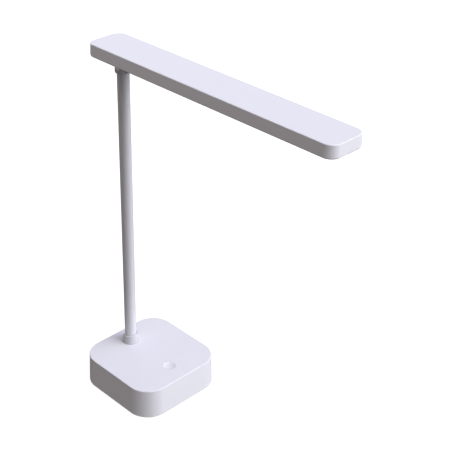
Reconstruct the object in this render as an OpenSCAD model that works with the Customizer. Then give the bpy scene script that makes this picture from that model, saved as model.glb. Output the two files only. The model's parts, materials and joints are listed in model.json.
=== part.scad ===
// Folding LED desk lamp: a weighted base, a pole that turns and folds in a
// small collar on it, and a long flat light bar that tilts on the pole.
// Millimetres, Z up. The origin is the middle of the rubber pad's underside.
// +X is the way the light bar reaches. The pole stands on the X axis.

/* [Base] */
// Width of the base along its lower edge
base_w = 105; // [102:0.5:125]
// Height of the base's casing, without the pad
base_h = 32; // [31:0.5:45]
// How far each side leans in on its way up
base_lean = 1; // [0.5:0.1:2.5]
// Corner radius along the lower edge
base_corner_r = 24; // [20:0.5:28]
// Rounding along the base's top edge
base_edge_r = 1; // [0.4:0.1:2]
// Thickness of the base's side wall
base_wall = 2.2; // [1.6:0.1:2.6]
// Thickness of the base's top wall
base_top = 2.5; // [2.2:0.1:3]
// Thickness of the base plate
plate_t = 3; // [2.6:0.1:4]
// Distance of each plate screw from the middle, along X and along Y
post_at = 34; // [33:0.5:36]
// Diameter of the screw posts
post_d = 8; // [6:0.5:9]

/* [Rubber pad] */
// Width of the pad under the base
pad_w = 94; // [80:1:98]
// Thickness of the pad
pad_t = 1.5; // [1.2:0.1:2.5]
// How far the pad stands proud of the base
pad_proud = 1; // [0.5:0.1:1.1]

/* [Ballast] */
// Thickness of the steel plate
ballast_t = 5; // [3:0.5:5.5]
// How far the plate reaches in front of the batteries' middle
ballast_reach = 42; // [36:1:45]
// Half-width of the plate's long arm along Y
ballast_arm = 43.5; // [42:0.5:46]
// Half-width of the plate where it passes between the screw posts
ballast_waist = 28; // [24:1:29]

/* [Batteries] */
// Diameter of one cell
cell_d = 18.4; // [18:0.1:18.6]
// Length of one cell
cell_l = 65; // [60:0.5:66]
// Distance between the two cells' axes
cell_pitch = 19; // [18.8:0.1:19.4]
// Place of the pair's middle along X
cells_x = 1; // [0:0.5:1.5]
// Floor of the plastic cradle under the cells
cradle_floor = 1.2; // [0.8:0.1:1.4]
// Height of the cradle
cradle_h = 6; // [4:0.5:10]
// Thickness of the cradle's end walls
cradle_wall = 1.6; // [1:0.1:2]

/* [Electronics] */
// Length of the main board along X
board_l = 24; // [22:0.5:25]
// Width of the main board along Y
board_w = 56; // [44:1:57]
// Thickness of both circuit boards
board_t = 1.6; // [1:0.1:1.8]
// Distance from the main board's middle to the button's middle
board_shift = 5.5; // [4:0.1:6.5]
// Length of the charging board along X
charge_l = 18; // [16:0.5:20]
// Width of the charging board along Y
charge_w = 24; // [20:1:30]
// Height of the posts under the charging board
charge_post_h = 7; // [5:0.5:7.5]
// Width of the USB-C socket's shell
usb_w = 8.94; // [8.9:0.01:9]
// Height of the USB-C socket's shell
usb_h = 3.26; // [3.2:0.01:3.3]
// Depth of the USB-C socket's shell
usb_l = 7.35; // [6.5:0.05:9]

/* [Button] */
// How far the button sits behind the middle of the room in front of the batteries
button_x = 5.3; // [5:0.1:6.5]
// Diameter of the button
button_d = 13.4; // [12:0.1:15]
// Depth of the dish in its top
dish_depth = 0.9; // [0.4:0.1:1.2]
// How far the button travels
button_travel = 0.5; // [0.2:0.05:0.6]

/* [Collar] */
// Distance of the pole's axis behind the base's middle
pole_x = 31.2; // [31:0.1:33]
// Height of the collar above the base
collar_h = 9.5; // [9.3:0.1:12]
// Diameter of the collar at its top
collar_top_d = 15.3; // [15:0.1:17]
// Diameter of the collar at the base's surface
collar_low_d = 16.6; // [16:0.1:19]
// Height of the folding axis above the base
fold_axis_h = 6.4; // [6.3:0.05:6.5]
// Diameter of the folding axis pin
fold_pin_d = 2.5; // [2:0.1:2.6]
// Diameter of the turning stem inside the base
stem_d = 12; // [10:0.5:12.5]
// Bore of the stem for the leads
stem_bore = 6; // [4:0.5:7]
// Turn to the left, in degrees
turn_left = 180; // [90:5:185]
// Turn to the right, in degrees
turn_right = 145; // [90:5:147]

/* [Pole] */
// Outer diameter of the pole
pole_d = 12; // [11:0.1:12.2]
// Wall of the pole's tube
pole_wall = 1; // [0.8:0.1:1.2]
// Length of the plugs inside the tube's ends
plug_l = 18; // [12:1:30]
// Diameter of the knuckle under the light bar
knuckle_d = 15.5; // [14:0.1:15.8]
// How far the knuckle reaches below the light bar
knuckle_drop = 14; // [13:0.5:18]
// Distance of the tilting axis below the light bar
tilt_axis_drop = 8.1; // [8.1:0.1:9]
// Diameter of the tilting axis pin
tilt_pin_d = 3; // [2.5:0.1:3.2]
// How far the light bar's tip tilts up, in degrees
tilt_up = 30; // [10:1:45]

/* [Light bar] */
// Height of the light bar's underside above the table
bar_z = 351.5; // [280:1:420]
// Length of the light bar
bar_l = 293.6; // [220:0.2:300]
// Width of the light bar
bar_w = 41.2; // [34:0.2:60]
// Thickness of the light bar
bar_t = 12.4; // [11.5:0.1:16]
// How far the light bar reaches behind the pole's axis
bar_rear = 27.8; // [24:0.1:40]
// Corner radius of the light bar
bar_corner_r = 10; // [6:0.1:12]
// How far each side of the light bar leans in from bottom to top
bar_lean = 0.4; // [0:0.1:1]
// Rounding along the light bar's bottom edge
bar_foot_r = 1.5; // [0.4:0.1:2]
// Rounding along the light bar's top edge
bar_edge_r = 0.9; // [0.4:0.1:1.5]
// Thickness of the light bar's top wall
bar_top = 1.8; // [1.2:0.1:2]
// Thickness of the rim round the panels underneath
bar_rim = 2; // [1.2:0.1:2.4]
// Width of the ledge that the panels rest on
bar_ledge = 1.2; // [0.8:0.1:2]
// Thickness of the light panel and the hinge cover
panel_t = 1.5; // [1:0.1:2]
// How far both panels lie inside the rim
panel_inset = 0.3; // [0.1:0.1:0.6]
// Where the hinge cover ends, in front of the pole's axis
hinge_cover_front = 16; // [15:0.5:24]
// Number of light-emitting diodes in each of the two rows
led_count = 22; // [8:1:26]
// Distance between two diodes in a row
led_pitch = 10; // [6:0.5:10]
// Distance between the two rows
led_row_gap = 12; // [8:0.5:16]
// Width of the diode board
led_board_w = 24; // [20:0.5:28]

/* [Clearances] */
// Gap round a pin that turns, on the radius
run_gap = 0.05; // [0.03:0.01:0.08]
// Gap round a piece that is seated and stays put
seat_gap = 0.1; // [0.05:0.01:0.15]
// Gap between two pieces that move past each other without touching
free_gap = 0.2; // [0.15:0.01:0.25]

/* [Hidden] */
$fn = 64;
eps = 0.01;
past = 1;               // how far a cut runs past the face it opens
root = 1;               // how far an added part runs into the one it grows from

// Base, from the table up
z_low = pad_proud;
z_top = z_low + base_h;
z_ceiling = z_top - base_top;
z_plate = z_low + plate_t;
z_ballast = z_plate + ballast_t;
base_core = base_w / 2 - base_corner_r;
lean_rate = base_lean / base_h;
pad_corner_r = 20;
posts = [for (x = [-1, 1], y = [-1, 1]) [x * post_at, y * post_at]];

// Screws: [shank diameter, head diameter, head height]
post_screw = [2.8, 5.4, 1.5];
post_screw_l = 10;
ballast_screw = [2.5, 5, 1.6];
board_screw = [1.9, 3.6, 1.3];
board_screw_l = 5;
bracket_screw = [2.1, 4, 1.4];
bracket_screw_in = 2.5;
cover_screw_l = 5;
led_screw_in = 1.8;
hole_spare = 0.5;       // how much deeper a blind hole is than its screw
hole_skin = 1;          // base plate left under the ballast screws' holes
hex_socket = 0.5;       // width and depth of a hex socket, as a share of the head's

// Batteries in their cradle on the ballast
z_cells = z_ballast + cradle_floor + seat_gap + cell_d / 2;
cells = [cells_x - cell_pitch / 2, cells_x + cell_pitch / 2];
cradle_rim = 0.5;
cradle_x = cell_pitch + cell_d + 2 * cradle_rim;
tab_t = 0.3;
tab_w = 6;
cell_end_h = 1;
cell_end_r = 3.2;
cradle_in = cell_l / 2 + tab_t + seat_gap;
cradle_out = cradle_in + cradle_wall;
ear_l = 7;
ear_t = 2;
ear_at = cradle_out + ear_l / 2;
ballast_front_edge = 6;
ballast_front_x = cells_x + ballast_reach - ballast_front_edge;
ballast_front_y = 18;

// Button on its switch, and the board under them
guide_h = 2;
guide_wall = 1.6;
flange_t = 1;
flange_lip = 1.1;
dish_rim = 0.2;
cap_wall = 1.2;
cap_skin = 1.4;
plunger_d = 3.5;
plunger_out = 1.4;
plunger_in = 1;
switch_w = 6.2;
switch_h = 3.5;
z_flange = z_ceiling - guide_h - run_gap;
z_button = z_flange - flange_t;
z_plunger = z_button - run_gap;
z_board = z_plunger - plunger_out - switch_h;
front_wall_x = base_w / 2 - lean_rate * (z_board - z_low) - base_wall;
front_room_x = (cells[1] + cell_d / 2 + front_wall_x) / 2;
button_at = front_room_x - button_x;
board_x = button_at + board_shift;
board_edge = 3;         // from a board's edge to its screws
plug_l_x = 7;
plug_w = 8;
plug_h = 5.5;
plug_back = 4;          // how far behind the board's middle the plug starts
plug_x = board_x - plug_back;
plug_run = 4;           // straight stretch of the battery leads at the plug
battery_lead_y = 3;
battery_lead_turn = 10; // where the battery leads turn in towards the plug
lead_off = 1.4;         // from a cell's side to the middle of a lead beside it
lead_bend = 0.9;
switch_step = 0.5;
board_holes = [for (x = [-1, 1], y = [-1, 1])
    [board_x + x * (board_l / 2 - board_edge), y * (board_w / 2 - board_edge)]];
board_post_d = 5;
// Parts on the main board: size, and place from the board's middle
driver_size = [5, 6, 1.6];
driver_at = [5, 13];
charger_size = [4, 4, 1];
charger_at = [-4, -12];
choke_size = [6, 6, 3];
choke_at = [5, -14];
resistor_size = [1.6, 0.8, 0.8];
resistor_at = [-6, 18];
resistor_pitch = 3;
resistor_count = 4;
capacitor_at = [6, 4];
capacitor_d = 4;
capacitor_h = 5;
z_plug = z_board - board_t - plug_h / 2;

// Charging board and socket at the rear wall
z_charge = z_plate + charge_post_h;
z_usb = z_charge + board_t + usb_h / 2;
rear_wall_x = -base_w / 2 + lean_rate * (z_usb - z_low);
usb_recess = 0.3;
usb_mouth_x = rear_wall_x + usb_recess;
charge_off = 0.6;       // from the rear wall's inside to the charging board
charge_x = rear_wall_x + base_wall + charge_off;
charge_holes = [for (x = [board_edge, charge_l - board_edge], y = [-1, 1])
    [charge_x + x, y * (charge_w / 2 - board_edge)]];
usb_corner_r = 1.2;
usb_skin = 0.3;
usb_back = 1;
usb_tongue = [6.7, 0.7];
usb_tongue_in = 0.8;    // from the mouth to the tongue's tip
charge_plug = [2.4, 6, 3];
charge_plug_at = 2;     // of the plug's middle, from the board's front edge
charge_plug_x = charge_x + charge_l - charge_plug_at;
// Parts on the charging board: size, and place from the board's front edge
control_size = [4, 5, 1.6];
control_at = [-6, -2.5];
guard_size = [3, 3, 1.2];
guard_at = [-6, 4];
link_out = 2.4;         // straight stretch of the link leads at the charging board
link_side = 2;          // how far behind the cells they turn up
link_drop = 4;          // and how far below the cells' axes
link_wrap = 4;          // degrees that they follow the cells past level

// Turning collar: bush and cover below the surface, stack of washers and nut
collar_sink = 1.6;
collar_edge_r = 0.3;
bush_flange_t = 1;
bush_wall = 1.2;
bush_boss_wall = 3;
bush_boss_h = 3;
z_sink = z_top - collar_sink;
z_bush = z_sink - run_gap;
bush_flange_r = collar_low_d / 2;
bush_r = stem_d / 2 + run_gap + bush_wall;
z_boss = z_ceiling - bush_boss_h;
bush_out = 0.6;
z_bush_low = z_boss - bush_out;
washer_t = 0.8;
spring_t = 1.2;
disc_t = 1.5;
nut_t = 4;
nut_d = 19.6;
z_washer = z_bush_low - run_gap - washer_t;
z_spring = z_washer - spring_t;
z_disc = z_spring - disc_t;
z_nut = z_disc - nut_t;
stem_out = 1;
z_stem = z_nut - stem_out;
stem_flat_cut = 1.4;
stem_flats = stem_d - stem_flat_cut;
stack_r = 8.6;
spring_split = 1.2;
lug_r = 12.5;
rib_w = 3.2;
rib_grip = 1.6;         // how far the lug reaches along the rib
rib_past = 2;           // and how far the rib runs on past it
rib_in = lug_r - rib_grip;
rib_out = lug_r + rib_past;
rib_under = 0.5;        // how far the rib reaches below the disc
stop_ease = 1.5;        // degrees left between lug and rib at each limit
lug_angle = -75;
stop_half = (360 - turn_left - turn_right) / 2;
lug_half = stop_half - asin(rib_w / 2 / rib_in) - stop_ease;
rib_angle = lug_angle + turn_left + stop_half;

// Fold at the pole's foot
z_fold = z_top + fold_axis_h;
foot_r = pole_d / 2;
cavity_r = foot_r + free_gap;
fold_washer_t = 0.5;
fold_washer_r = 2.85;
foot_half = cavity_r - fold_washer_t - 2 * run_gap;
z_tube = z_fold + fold_washer_r + free_gap;
pin_cover = 0.6;        // skin left over the pin's closed end
plug_r = foot_r - pole_wall - seat_gap / 2;
lead_d = 1.2;
link_y = 1;             // of each link lead, from the middle
link_r = cell_d / 2 + lead_d / 2 + free_gap;
lead_pass_r = 1.25;
lead_pass_x = 2.9;
dowel_d = 2;
dowel_up = 9;

// Tilt under the light bar
z_knuckle = bar_z - knuckle_drop;
z_tilt = bar_z - tilt_axis_drop;
knuckle_edge = 0.9;
tongue_t = 5;
tongue_r = 4.2;
tilt_gap = 0.3;         // round the tongue, and over the knuckle's round top
tilt_ease = 2;          // degrees left behind the tongue at its rear limit
tilt_washer_t = 0.5;
slot_half = tongue_t / 2 + tilt_washer_t + 2 * run_gap;
slot_r = tongue_r + tilt_gap;
knuckle_top_r = tilt_axis_drop + panel_inset - tilt_gap;
screw_head_r = 2.6;
screw_head_t = 1.6;
tilt_nut_af = 5.5;
tilt_nut_t = 1.8;
pocket_y = 5.3;         // where both pockets in the cheeks end, from the middle
tilt_washer_r = 3.9;

// Light bar, along X from its rear end to its tip
bar_x0 = -pole_x - bar_rear;
bar_mid = bar_x0 + bar_l / 2;
bar_core_x = bar_l / 2 - bar_corner_r;
bar_core_y = bar_w / 2 - bar_corner_r;
bar_foot = min(bar_foot_r, bar_rim - seat_gap);
z_panel = bar_z + panel_inset;
z_ledge = z_panel + panel_t;
z_bar_top = bar_z + bar_t;
z_roof = z_bar_top - bar_top;
bracket_lift = 3.6;
z_bracket = z_ledge + bracket_lift;
bracket_t = 2;
bracket_l = 30;
bracket_w = 22;
bracket_edge = 3.5;
bracket_post_d = 6;
bar_post_d = 5;
bracket_holes = [for (x = [-1, 1], y = [-1, 1])
    [-pole_x + x * (bracket_l / 2 - bracket_edge), y * (bracket_w / 2 - bracket_edge)]];
split_x = -pole_x + hinge_cover_front;
cover_screw_x = bar_x0 + bar_rim + bar_ledge + bar_post_d;
cover_screw_y = 9;
cover_seat = 0.7;       // hinge cover left under its screws' heads
led_board_t = 1.2;
led_post_h = 1.3;
z_led_board = z_roof - led_post_h - led_board_t;
led_size = [2.8, 3.5, 0.8];
led_run = (led_count - 1) * led_pitch;
led_margin = 5;
head_lead_y = 1.2;
head_lead_run = 1;
led_board_off = 4;
led_board_x0 = split_x + led_board_off;
led_x0 = led_board_x0 + led_margin + led_size.x;
led_board_l = led_run + 2 * (led_margin + led_size.x);
led_screws = 4;
led_screw_x = [for (i = [0:led_screws - 1]) led_x0 + led_pitch / 2
    + floor((led_count - 2) / (led_screws - 1)) * i * led_pitch];

// ---- shared shapes ----

function arc(cx, cy, r, from, to, n = 6) =
    [for (i = [0:n]) let (a = from + (to - from) * i / n) [cx + r * cos(a), cy + r * sin(a)]];

// Outline of a block's edge: straight or leaning side, then a rounded top edge
function edge_line(r_low, r_top, h, r_edge) =
    concat([[r_low, 0]], arc(r_top - r_edge, h - r_edge, r_edge, 0, 90));

function plain_line(r_low, r_top, h) = [[r_low, 0], [r_top, h]];

function round_rect(w, h, r) = concat(
    arc(w / 2 - r, h / 2 - r, r, 0, 90), arc(r - w / 2, h / 2 - r, r, 90, 180),
    arc(r - w / 2, r - h / 2, r, 180, 270), arc(w / 2 - r, r - h / 2, r, 270, 360));

// Rounded block standing on z = 0: a rectangular core, grown by the edge line
module soft_block(core_x, core_y, line) {
    h = line[len(line) - 1].y;
    side = concat([[0, 0]], line, [[0, h]]);
    across = concat([for (p = line) [core_x + p.x, p.y]],
        [for (i = [len(line) - 1:-1:0]) [-core_x - line[i].x, line[i].y]]);
    rotate([90, 0, 0])
        translate([0, 0, -core_y])
            linear_extrude(2 * core_y)
                polygon(across);
    for (s = [0, 1])
        mirror([0, s, 0]) {
            translate([-core_x, core_y, 0])
                rotate([90, 0, 90])
                    linear_extrude(2 * core_x)
                        polygon(side);
            for (t = [0, 1])
                mirror([t, 0, 0])
                    translate([core_x, core_y, 0])
                        rotate_extrude(angle = 90)
                            polygon(side);
        }
}

module ring(r_out, r_in, h) {
    difference() {
        cylinder(r = r_out, h = h);
        translate([0, 0, -past])
            cylinder(r = r_in, h = h + 2 * past);
    }
}

// Pan-head screw pointing up, its head's seat at z = 0
module screw(size, length) {
    cylinder(d = size[0], h = length);
    translate([0, 0, -size[2]])
        difference() {
            cylinder(d = size[1], h = size[2]);
            translate([0, 0, -past])
                cylinder(d = size[1] * hex_socket, h = past + size[2] * hex_socket, $fn = 6);
        }
}

// Insulated lead swept along points that lie in one plane with this normal
module lead(path, normal, d = lead_d) {
    sides = 8;
    last = len(path) - 1;
    points = [for (i = [0:last])
        let (t = unit(unit(path[min(i + 1, last)] - path[min(i, last - 1)])
                + unit(path[max(i, 1)] - path[max(i - 1, 0)])),
            b = cross(t, normal))
        for (k = [0:sides - 1])
            path[i] + d / 2 * (cos(360 * k / sides) * normal + sin(360 * k / sides) * b)];
    walls = [for (i = [0:last - 1], k = [0:sides - 1])
        let (a = i * sides + k, c = i * sides + (k + 1) % sides)
        each [[a, a + sides, c + sides], [a, c + sides, c]]];
    polyhedron(points = points, faces = concat(walls,
        [[for (k = [0:sides - 1]) k]], [[for (k = [sides - 1:-1:0]) last * sides + k]]));
}

function unit(v) = v / norm(v);

module along_y(from, to, r, at = [0, 0]) {
    translate([at.x, from, at.y])
        rotate([-90, 0, 0])
            cylinder(r = r, h = to - from);
}

// ---- base ----

// Room for the pad, in the base plate and in the casing where the pad reaches it
module pad_recess() {
    translate([0, 0, z_low - past])
        soft_block(pad_w / 2 - pad_corner_r, pad_w / 2 - pad_corner_r,
            plain_line(pad_corner_r + seat_gap, pad_corner_r + seat_gap,
                past + pad_t - pad_proud));
}

module base_cover() {
    color("white") difference() {
        union() {
            difference() {
                translate([0, 0, z_low])
                    soft_block(base_core, base_core, edge_line(base_corner_r,
                        base_corner_r - base_lean, base_h, base_edge_r));
                translate([0, 0, z_low])
                    soft_block(base_core, base_core, plain_line(base_corner_r - base_wall,
                        base_corner_r - base_wall - lean_rate * (z_ceiling - z_low),
                        z_ceiling - z_low));
            }
            for (p = posts)
                translate([p.x, p.y, z_plate])
                    cylinder(d = post_d, h = z_ceiling - z_plate + eps);
            for (p = board_holes)
                translate([p.x, p.y, z_board])
                    cylinder(d = board_post_d, h = z_ceiling - z_board + eps);
            translate([button_at, 0, z_ceiling - guide_h])
                cylinder(r = button_d / 2 + run_gap + guide_wall, h = guide_h + eps);
            translate([-pole_x, 0, z_boss])
                cylinder(r = bush_r + bush_boss_wall, h = bush_boss_h + eps);
            translate([-pole_x, 0, 0])
                rotate(rib_angle)
                    translate([bush_r + bush_boss_wall - root, -rib_w / 2, z_boss])
                        cube([rib_out - bush_r - bush_boss_wall + root, rib_w, bush_boss_h + eps]);
            translate([-pole_x, 0, 0])
                rotate(rib_angle)
                    translate([rib_in, -rib_w / 2, z_disc - rib_under])
                        cube([rib_out - rib_in, rib_w, z_ceiling - z_disc + rib_under + eps]);
        }
        for (p = posts)
            translate([p.x, p.y, z_plate - past])
                cylinder(d = post_screw[0], h = post_screw_l + past);
        for (p = board_holes)
            translate([p.x, p.y, z_board - past])
                cylinder(d = board_screw[0], h = board_screw_l + past);
        translate([button_at, 0, z_ceiling - guide_h - past])
            cylinder(r = button_d / 2 + run_gap, h = guide_h + base_top + 2 * past);
        translate([-pole_x, 0, z_bush - bush_flange_t])
            cylinder(r = bush_flange_r + free_gap, h = base_top + past);
        translate([-pole_x, 0, z_boss - past])
            cylinder(r = bush_r + seat_gap / 2, h = bush_boss_h + base_top);
        pad_recess();
        translate([rear_wall_x - past, 0, z_usb])
            rotate([90, 0, 90])
                linear_extrude(base_wall + 2 * past)
                    polygon(round_rect(usb_w + 2 * free_gap, usb_h + 2 * free_gap,
                        usb_corner_r + free_gap));
    }
}

module base_plate() {
    color("whitesmoke") difference() {
        union() {
            translate([0, 0, z_low])
                soft_block(base_core, base_core, plain_line(
                    base_corner_r - base_wall - seat_gap,
                    base_corner_r - base_wall - seat_gap - lean_rate * plate_t, plate_t));
            for (p = charge_holes)
                translate([p.x, p.y, z_plate - eps])
                    cylinder(d = board_post_d, h = charge_post_h + eps);
        }
        pad_recess();
        for (p = posts) {
            translate([p.x, p.y, z_low])
                cylinder(d = post_screw[1] + 2 * seat_gap, h = pad_t - pad_proud + post_screw[2]);
            translate([p.x, p.y, z_low])
                cylinder(d = post_screw[0] + 2 * seat_gap, h = plate_t + past);
        }
        for (p = ballast_screw_at())
            translate([p.x, p.y, z_low + hole_skin])
                cylinder(d = ballast_screw[0], h = plate_t);
        for (p = charge_holes)
            translate([p.x, p.y, z_charge - board_screw_l])
                cylinder(d = board_screw[0], h = board_screw_l + past);
    }
}

function ballast_screw_at() = concat([for (y = [-1, 1]) [cells_x, y * ear_at]],
    [for (y = [-1, 1]) [ballast_front_x, y * ballast_front_y]]);

module rubber_pad() {
    color("dimgray")
        soft_block(pad_w / 2 - pad_corner_r, pad_w / 2 - pad_corner_r,
            plain_line(pad_corner_r, pad_corner_r, pad_t));
}

module plate_screws() {
    color("silver")
        for (p = posts)
            translate([p.x, p.y, z_low + pad_t - pad_proud + post_screw[2]])
                screw([post_screw[0] - 2 * eps, post_screw[1], post_screw[2]],
                    post_screw_l - hole_spare);
}

module ballast_plate() {
    color("gray") difference() {
        translate([cells_x, 0, z_plate])
            linear_extrude(ballast_t)
                union() {
                    translate([-ballast_waist, -ballast_waist])
                        square([ballast_waist + ballast_reach, 2 * ballast_waist]);
                    translate([-ballast_waist, -ballast_arm])
                        square([2 * ballast_waist, 2 * ballast_arm]);
                }
        for (p = ballast_screw_at())
            translate([p.x, p.y, z_plate - past])
                cylinder(d = ballast_screw[0] + 2 * seat_gap, h = ballast_t + 2 * past);
    }
}

module ballast_screws() {
    color("silver")
        for (p = ballast_screw_at()) {
            seat = z_ballast + (p.x == cells_x ? ear_t : 0);
            translate([p.x, p.y, seat])
                mirror([0, 0, 1])
                    screw([ballast_screw[0] - 2 * eps, ballast_screw[1], ballast_screw[2]],
                        seat - z_low - hole_skin - eps);
        }
}

module battery_cradle() {
    color("black") difference() {
        union() {
            translate([cells_x - cradle_x / 2, -cradle_out, z_ballast])
                cube([cradle_x, 2 * cradle_out, cradle_h]);
            for (y = [-1, 1])
                translate([cells_x, y * ear_at, z_ballast])
                    translate([-ear_l / 2, -ear_l / 2 - eps, 0])
                        cube([ear_l, ear_l + 2 * eps, ear_t]);
        }
        for (x = cells)
            along_y(-cradle_in, cradle_in, cell_d / 2 + seat_gap, [x, z_cells]);
        for (y = [-1, 1])
            translate([cells_x, y * ear_at, z_ballast - past])
                cylinder(d = ballast_screw[0] + 2 * seat_gap, h = ear_t + 2 * past);
    }
}

module battery_cell(x) {
    along_y(-cell_l / 2 + cell_end_h, cell_l / 2, cell_d / 2, [x, z_cells]);
    along_y(-cell_l / 2, -cell_l / 2 + cell_end_h + eps, cell_end_r, [x, z_cells]);
}

module battery_cell_front() {
    color("steelblue") battery_cell(cells[1]);
}

module battery_cell_rear() {
    color("steelblue") battery_cell(cells[0]);
}

// Nickel strips joining the cells' ends
module battery_tabs() {
    color("silver")
        for (y = [-1, 1])
            translate([cells[0] - tab_w / 2, y * (cell_l + tab_t) / 2 - tab_t / 2, z_cells - tab_w / 2])
                cube([cell_pitch + tab_w, tab_t, tab_w]);
}

module battery_leads() {
    lead_y = cell_l / 2 + tab_t + lead_d / 2;
    beside = cells[1] + cell_d / 2 + lead_off;
    for (y = [-1, 1])
        color(y > 0 ? "red" : "black")
            lead([[cells[1] + tab_w / 4, y * lead_y, z_plug],
                [beside - lead_bend, y * lead_y, z_plug],
                [beside, y * (lead_y - lead_bend), z_plug],
                [beside, y * battery_lead_turn, z_plug],
                [plug_x - plug_run, y * battery_lead_y, z_plug],
                [plug_x - eps, y * battery_lead_y, z_plug]], [0, 0, 1]);
}

module main_board() {
    lead_room_y = link_y + lead_d / 2 + free_gap;
    color("seagreen") difference() {
        translate([board_x - board_l / 2, -board_w / 2, z_board - board_t])
            cube([board_l, board_w, board_t]);
        for (p = board_holes)
            translate([p.x, p.y, z_board - board_t - past])
                cylinder(d = board_screw[0] + 2 * seat_gap, h = board_t + 2 * past);
        // notch for the link leads, where the board comes as near as that
        translate([cells[1], -lead_room_y, z_board - board_t - past])
            cube([link_r + lead_d / 2 + free_gap, 2 * lead_room_y, board_t + 2 * past]);
    }
}

module chip(at, size) {
    translate([at.x - size.x / 2, at.y - size.y / 2, at.z])
        cube(size);
}

// Battery plug underneath; driver, choke and capacitors on top
module main_board_parts() {
    color("dimgray") {
        translate([plug_x, -plug_w / 2, z_board - board_t - plug_h])
            cube([plug_l_x, plug_w, plug_h]);
        chip([board_x + driver_at.x, driver_at.y, z_board], driver_size);
        chip([board_x + charger_at.x, charger_at.y, z_board], charger_size);
        chip([board_x + choke_at.x, choke_at.y, z_board], choke_size);
        for (i = [0:resistor_count - 1])
            chip([board_x + resistor_at.x + i * resistor_pitch, resistor_at.y, z_board],
                resistor_size);
        translate([board_x + capacitor_at.x, capacitor_at.y, z_board])
            cylinder(d = capacitor_d, h = capacitor_h);
    }
}

module board_screws() {
    color("silver")
        for (p = board_holes)
            translate([p.x, p.y, z_board - board_t])
                screw([board_screw[0] - 2 * eps, board_screw[1], board_screw[2]],
                    board_t + board_screw_l - hole_spare);
}

module tact_switch() {
    color("black") difference() {
        union() {
            chip([button_at, 0, z_board], [switch_w, switch_w, switch_h - switch_step]);
            chip([button_at, 0, z_board],
                [switch_w - 2 * switch_step, switch_w - 2 * switch_step, switch_h]);
        }
        translate([button_at, 0, z_board + switch_h - plunger_in - button_travel - free_gap])
            cylinder(r = plunger_d / 2 + run_gap, h = switch_h);
    }
}

module charge_board() {
    color("seagreen") difference() {
        translate([charge_x, -charge_w / 2, z_charge])
            cube([charge_l, charge_w, board_t]);
        for (p = charge_holes)
            translate([p.x, p.y, z_charge - past])
                cylinder(d = board_screw[0] + 2 * seat_gap, h = board_t + 2 * past);
    }
}

module charge_board_parts() {
    color("dimgray") {
        chip([charge_x + charge_l + control_at.x, control_at.y, z_charge + board_t], control_size);
        chip([charge_x + charge_l + guard_at.x, guard_at.y, z_charge + board_t], guard_size);
        chip([charge_plug_x, 0, z_charge + board_t], charge_plug);
    }
}

module charge_screws() {
    color("silver")
        for (p = charge_holes)
            translate([p.x, p.y, z_charge + board_t])
                mirror([0, 0, 1])
                    screw([board_screw[0] - 2 * eps, board_screw[1], board_screw[2]],
                        board_t + board_screw_l - hole_spare);
}

module usb_socket() {
    color("silver")
        translate([usb_mouth_x, 0, z_usb])
            rotate([90, 0, 90])
                difference() {
                    linear_extrude(usb_l)
                        polygon(round_rect(usb_w, usb_h, usb_corner_r));
                    difference() {
                        translate([0, 0, -past])
                            linear_extrude(usb_l - usb_back + past)
                                polygon(round_rect(usb_w - 2 * usb_skin, usb_h - 2 * usb_skin,
                                    usb_corner_r - usb_skin));
                        translate([-usb_tongue.x / 2, -usb_tongue.y / 2, usb_tongue_in])
                            cube([usb_tongue.x, usb_tongue.y, usb_l]);
                    }
                }
}

// Leads from the charging board, over the cells, to the main board's plug
module link_leads() {
    from_x = charge_plug_x + charge_plug.x / 2 + eps;
    from_z = z_charge + board_t + charge_plug.z / 2;
    color("gold")
        for (y = [-link_y, link_y])
            lead([for (p = concat(
                    [[from_x, from_z], [from_x + link_out, from_z],
                    [cells[0] - link_r - link_side, z_cells - link_drop]],
                    arc(cells[0], z_cells, link_r, 180 + link_wrap, 90, 10),
                    arc(cells[1], z_cells, link_r, 90, link_wrap, 10),
                    [[cells[1] + link_r + lead_off, z_plug], [plug_x - eps, z_plug]]))
                [p.x, y, p.y]], [0, 1, 0]);
}

module swivel_bush() {
    color("ivory")
        translate([-pole_x, 0, 0])
            difference() {
                union() {
                    translate([0, 0, z_bush - bush_flange_t])
                        cylinder(r = bush_flange_r, h = bush_flange_t);
                    translate([0, 0, z_bush_low])
                        cylinder(r = bush_r, h = z_bush - z_bush_low - eps);
                }
                translate([0, 0, z_bush_low - past])
                    cylinder(r = stem_d / 2 + run_gap, h = z_bush - z_bush_low + 2 * past);
            }
}

// ---- turning collar ----

module swivel_turret() {
    color("white")
        translate([-pole_x, 0, 0])
            difference() {
                union() {
                    translate([0, 0, z_sink])
                        cylinder(r = collar_low_d / 2, h = collar_sink);
                    translate([0, 0, z_top])
                        rotate_extrude()
                            polygon(concat([[0, -eps]], [[collar_low_d / 2, -eps]],
                                edge_line(collar_low_d / 2, collar_top_d / 2, collar_h, collar_edge_r),
                                [[0, collar_h]]));
                    translate([0, 0, z_spring])
                        cylinder(d = stem_d, h = z_sink - z_spring + eps);
                    intersection() {
                        translate([0, 0, z_stem])
                            cylinder(d = stem_d, h = z_spring - z_stem + eps);
                        translate([-stem_d, -stem_flats / 2, z_stem])
                            cube([2 * stem_d, stem_flats, z_spring - z_stem + eps]);
                    }
                }
                translate([0, 0, z_top])
                    cylinder(r = cavity_r, h = collar_h + past);
                translate([-collar_low_d, -cavity_r, z_top])
                    cube([collar_low_d, 2 * cavity_r, collar_h + past]);
                along_y(-cavity_r, cavity_r, fold_washer_r + seat_gap, [0, z_fold]);
                translate([0, 0, z_stem - past])
                    cylinder(d = stem_bore, h = z_top - z_stem + 2 * past);
                along_y(-collar_low_d / 2 + 2 * pin_cover, collar_low_d, fold_pin_d / 2 + eps,
                    [0, z_fold]);
            }
}

module thrust_washer() {
    color("silver")
        translate([-pole_x, 0, z_washer])
            ring(stack_r, stem_d / 2 + seat_gap, washer_t);
}

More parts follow.
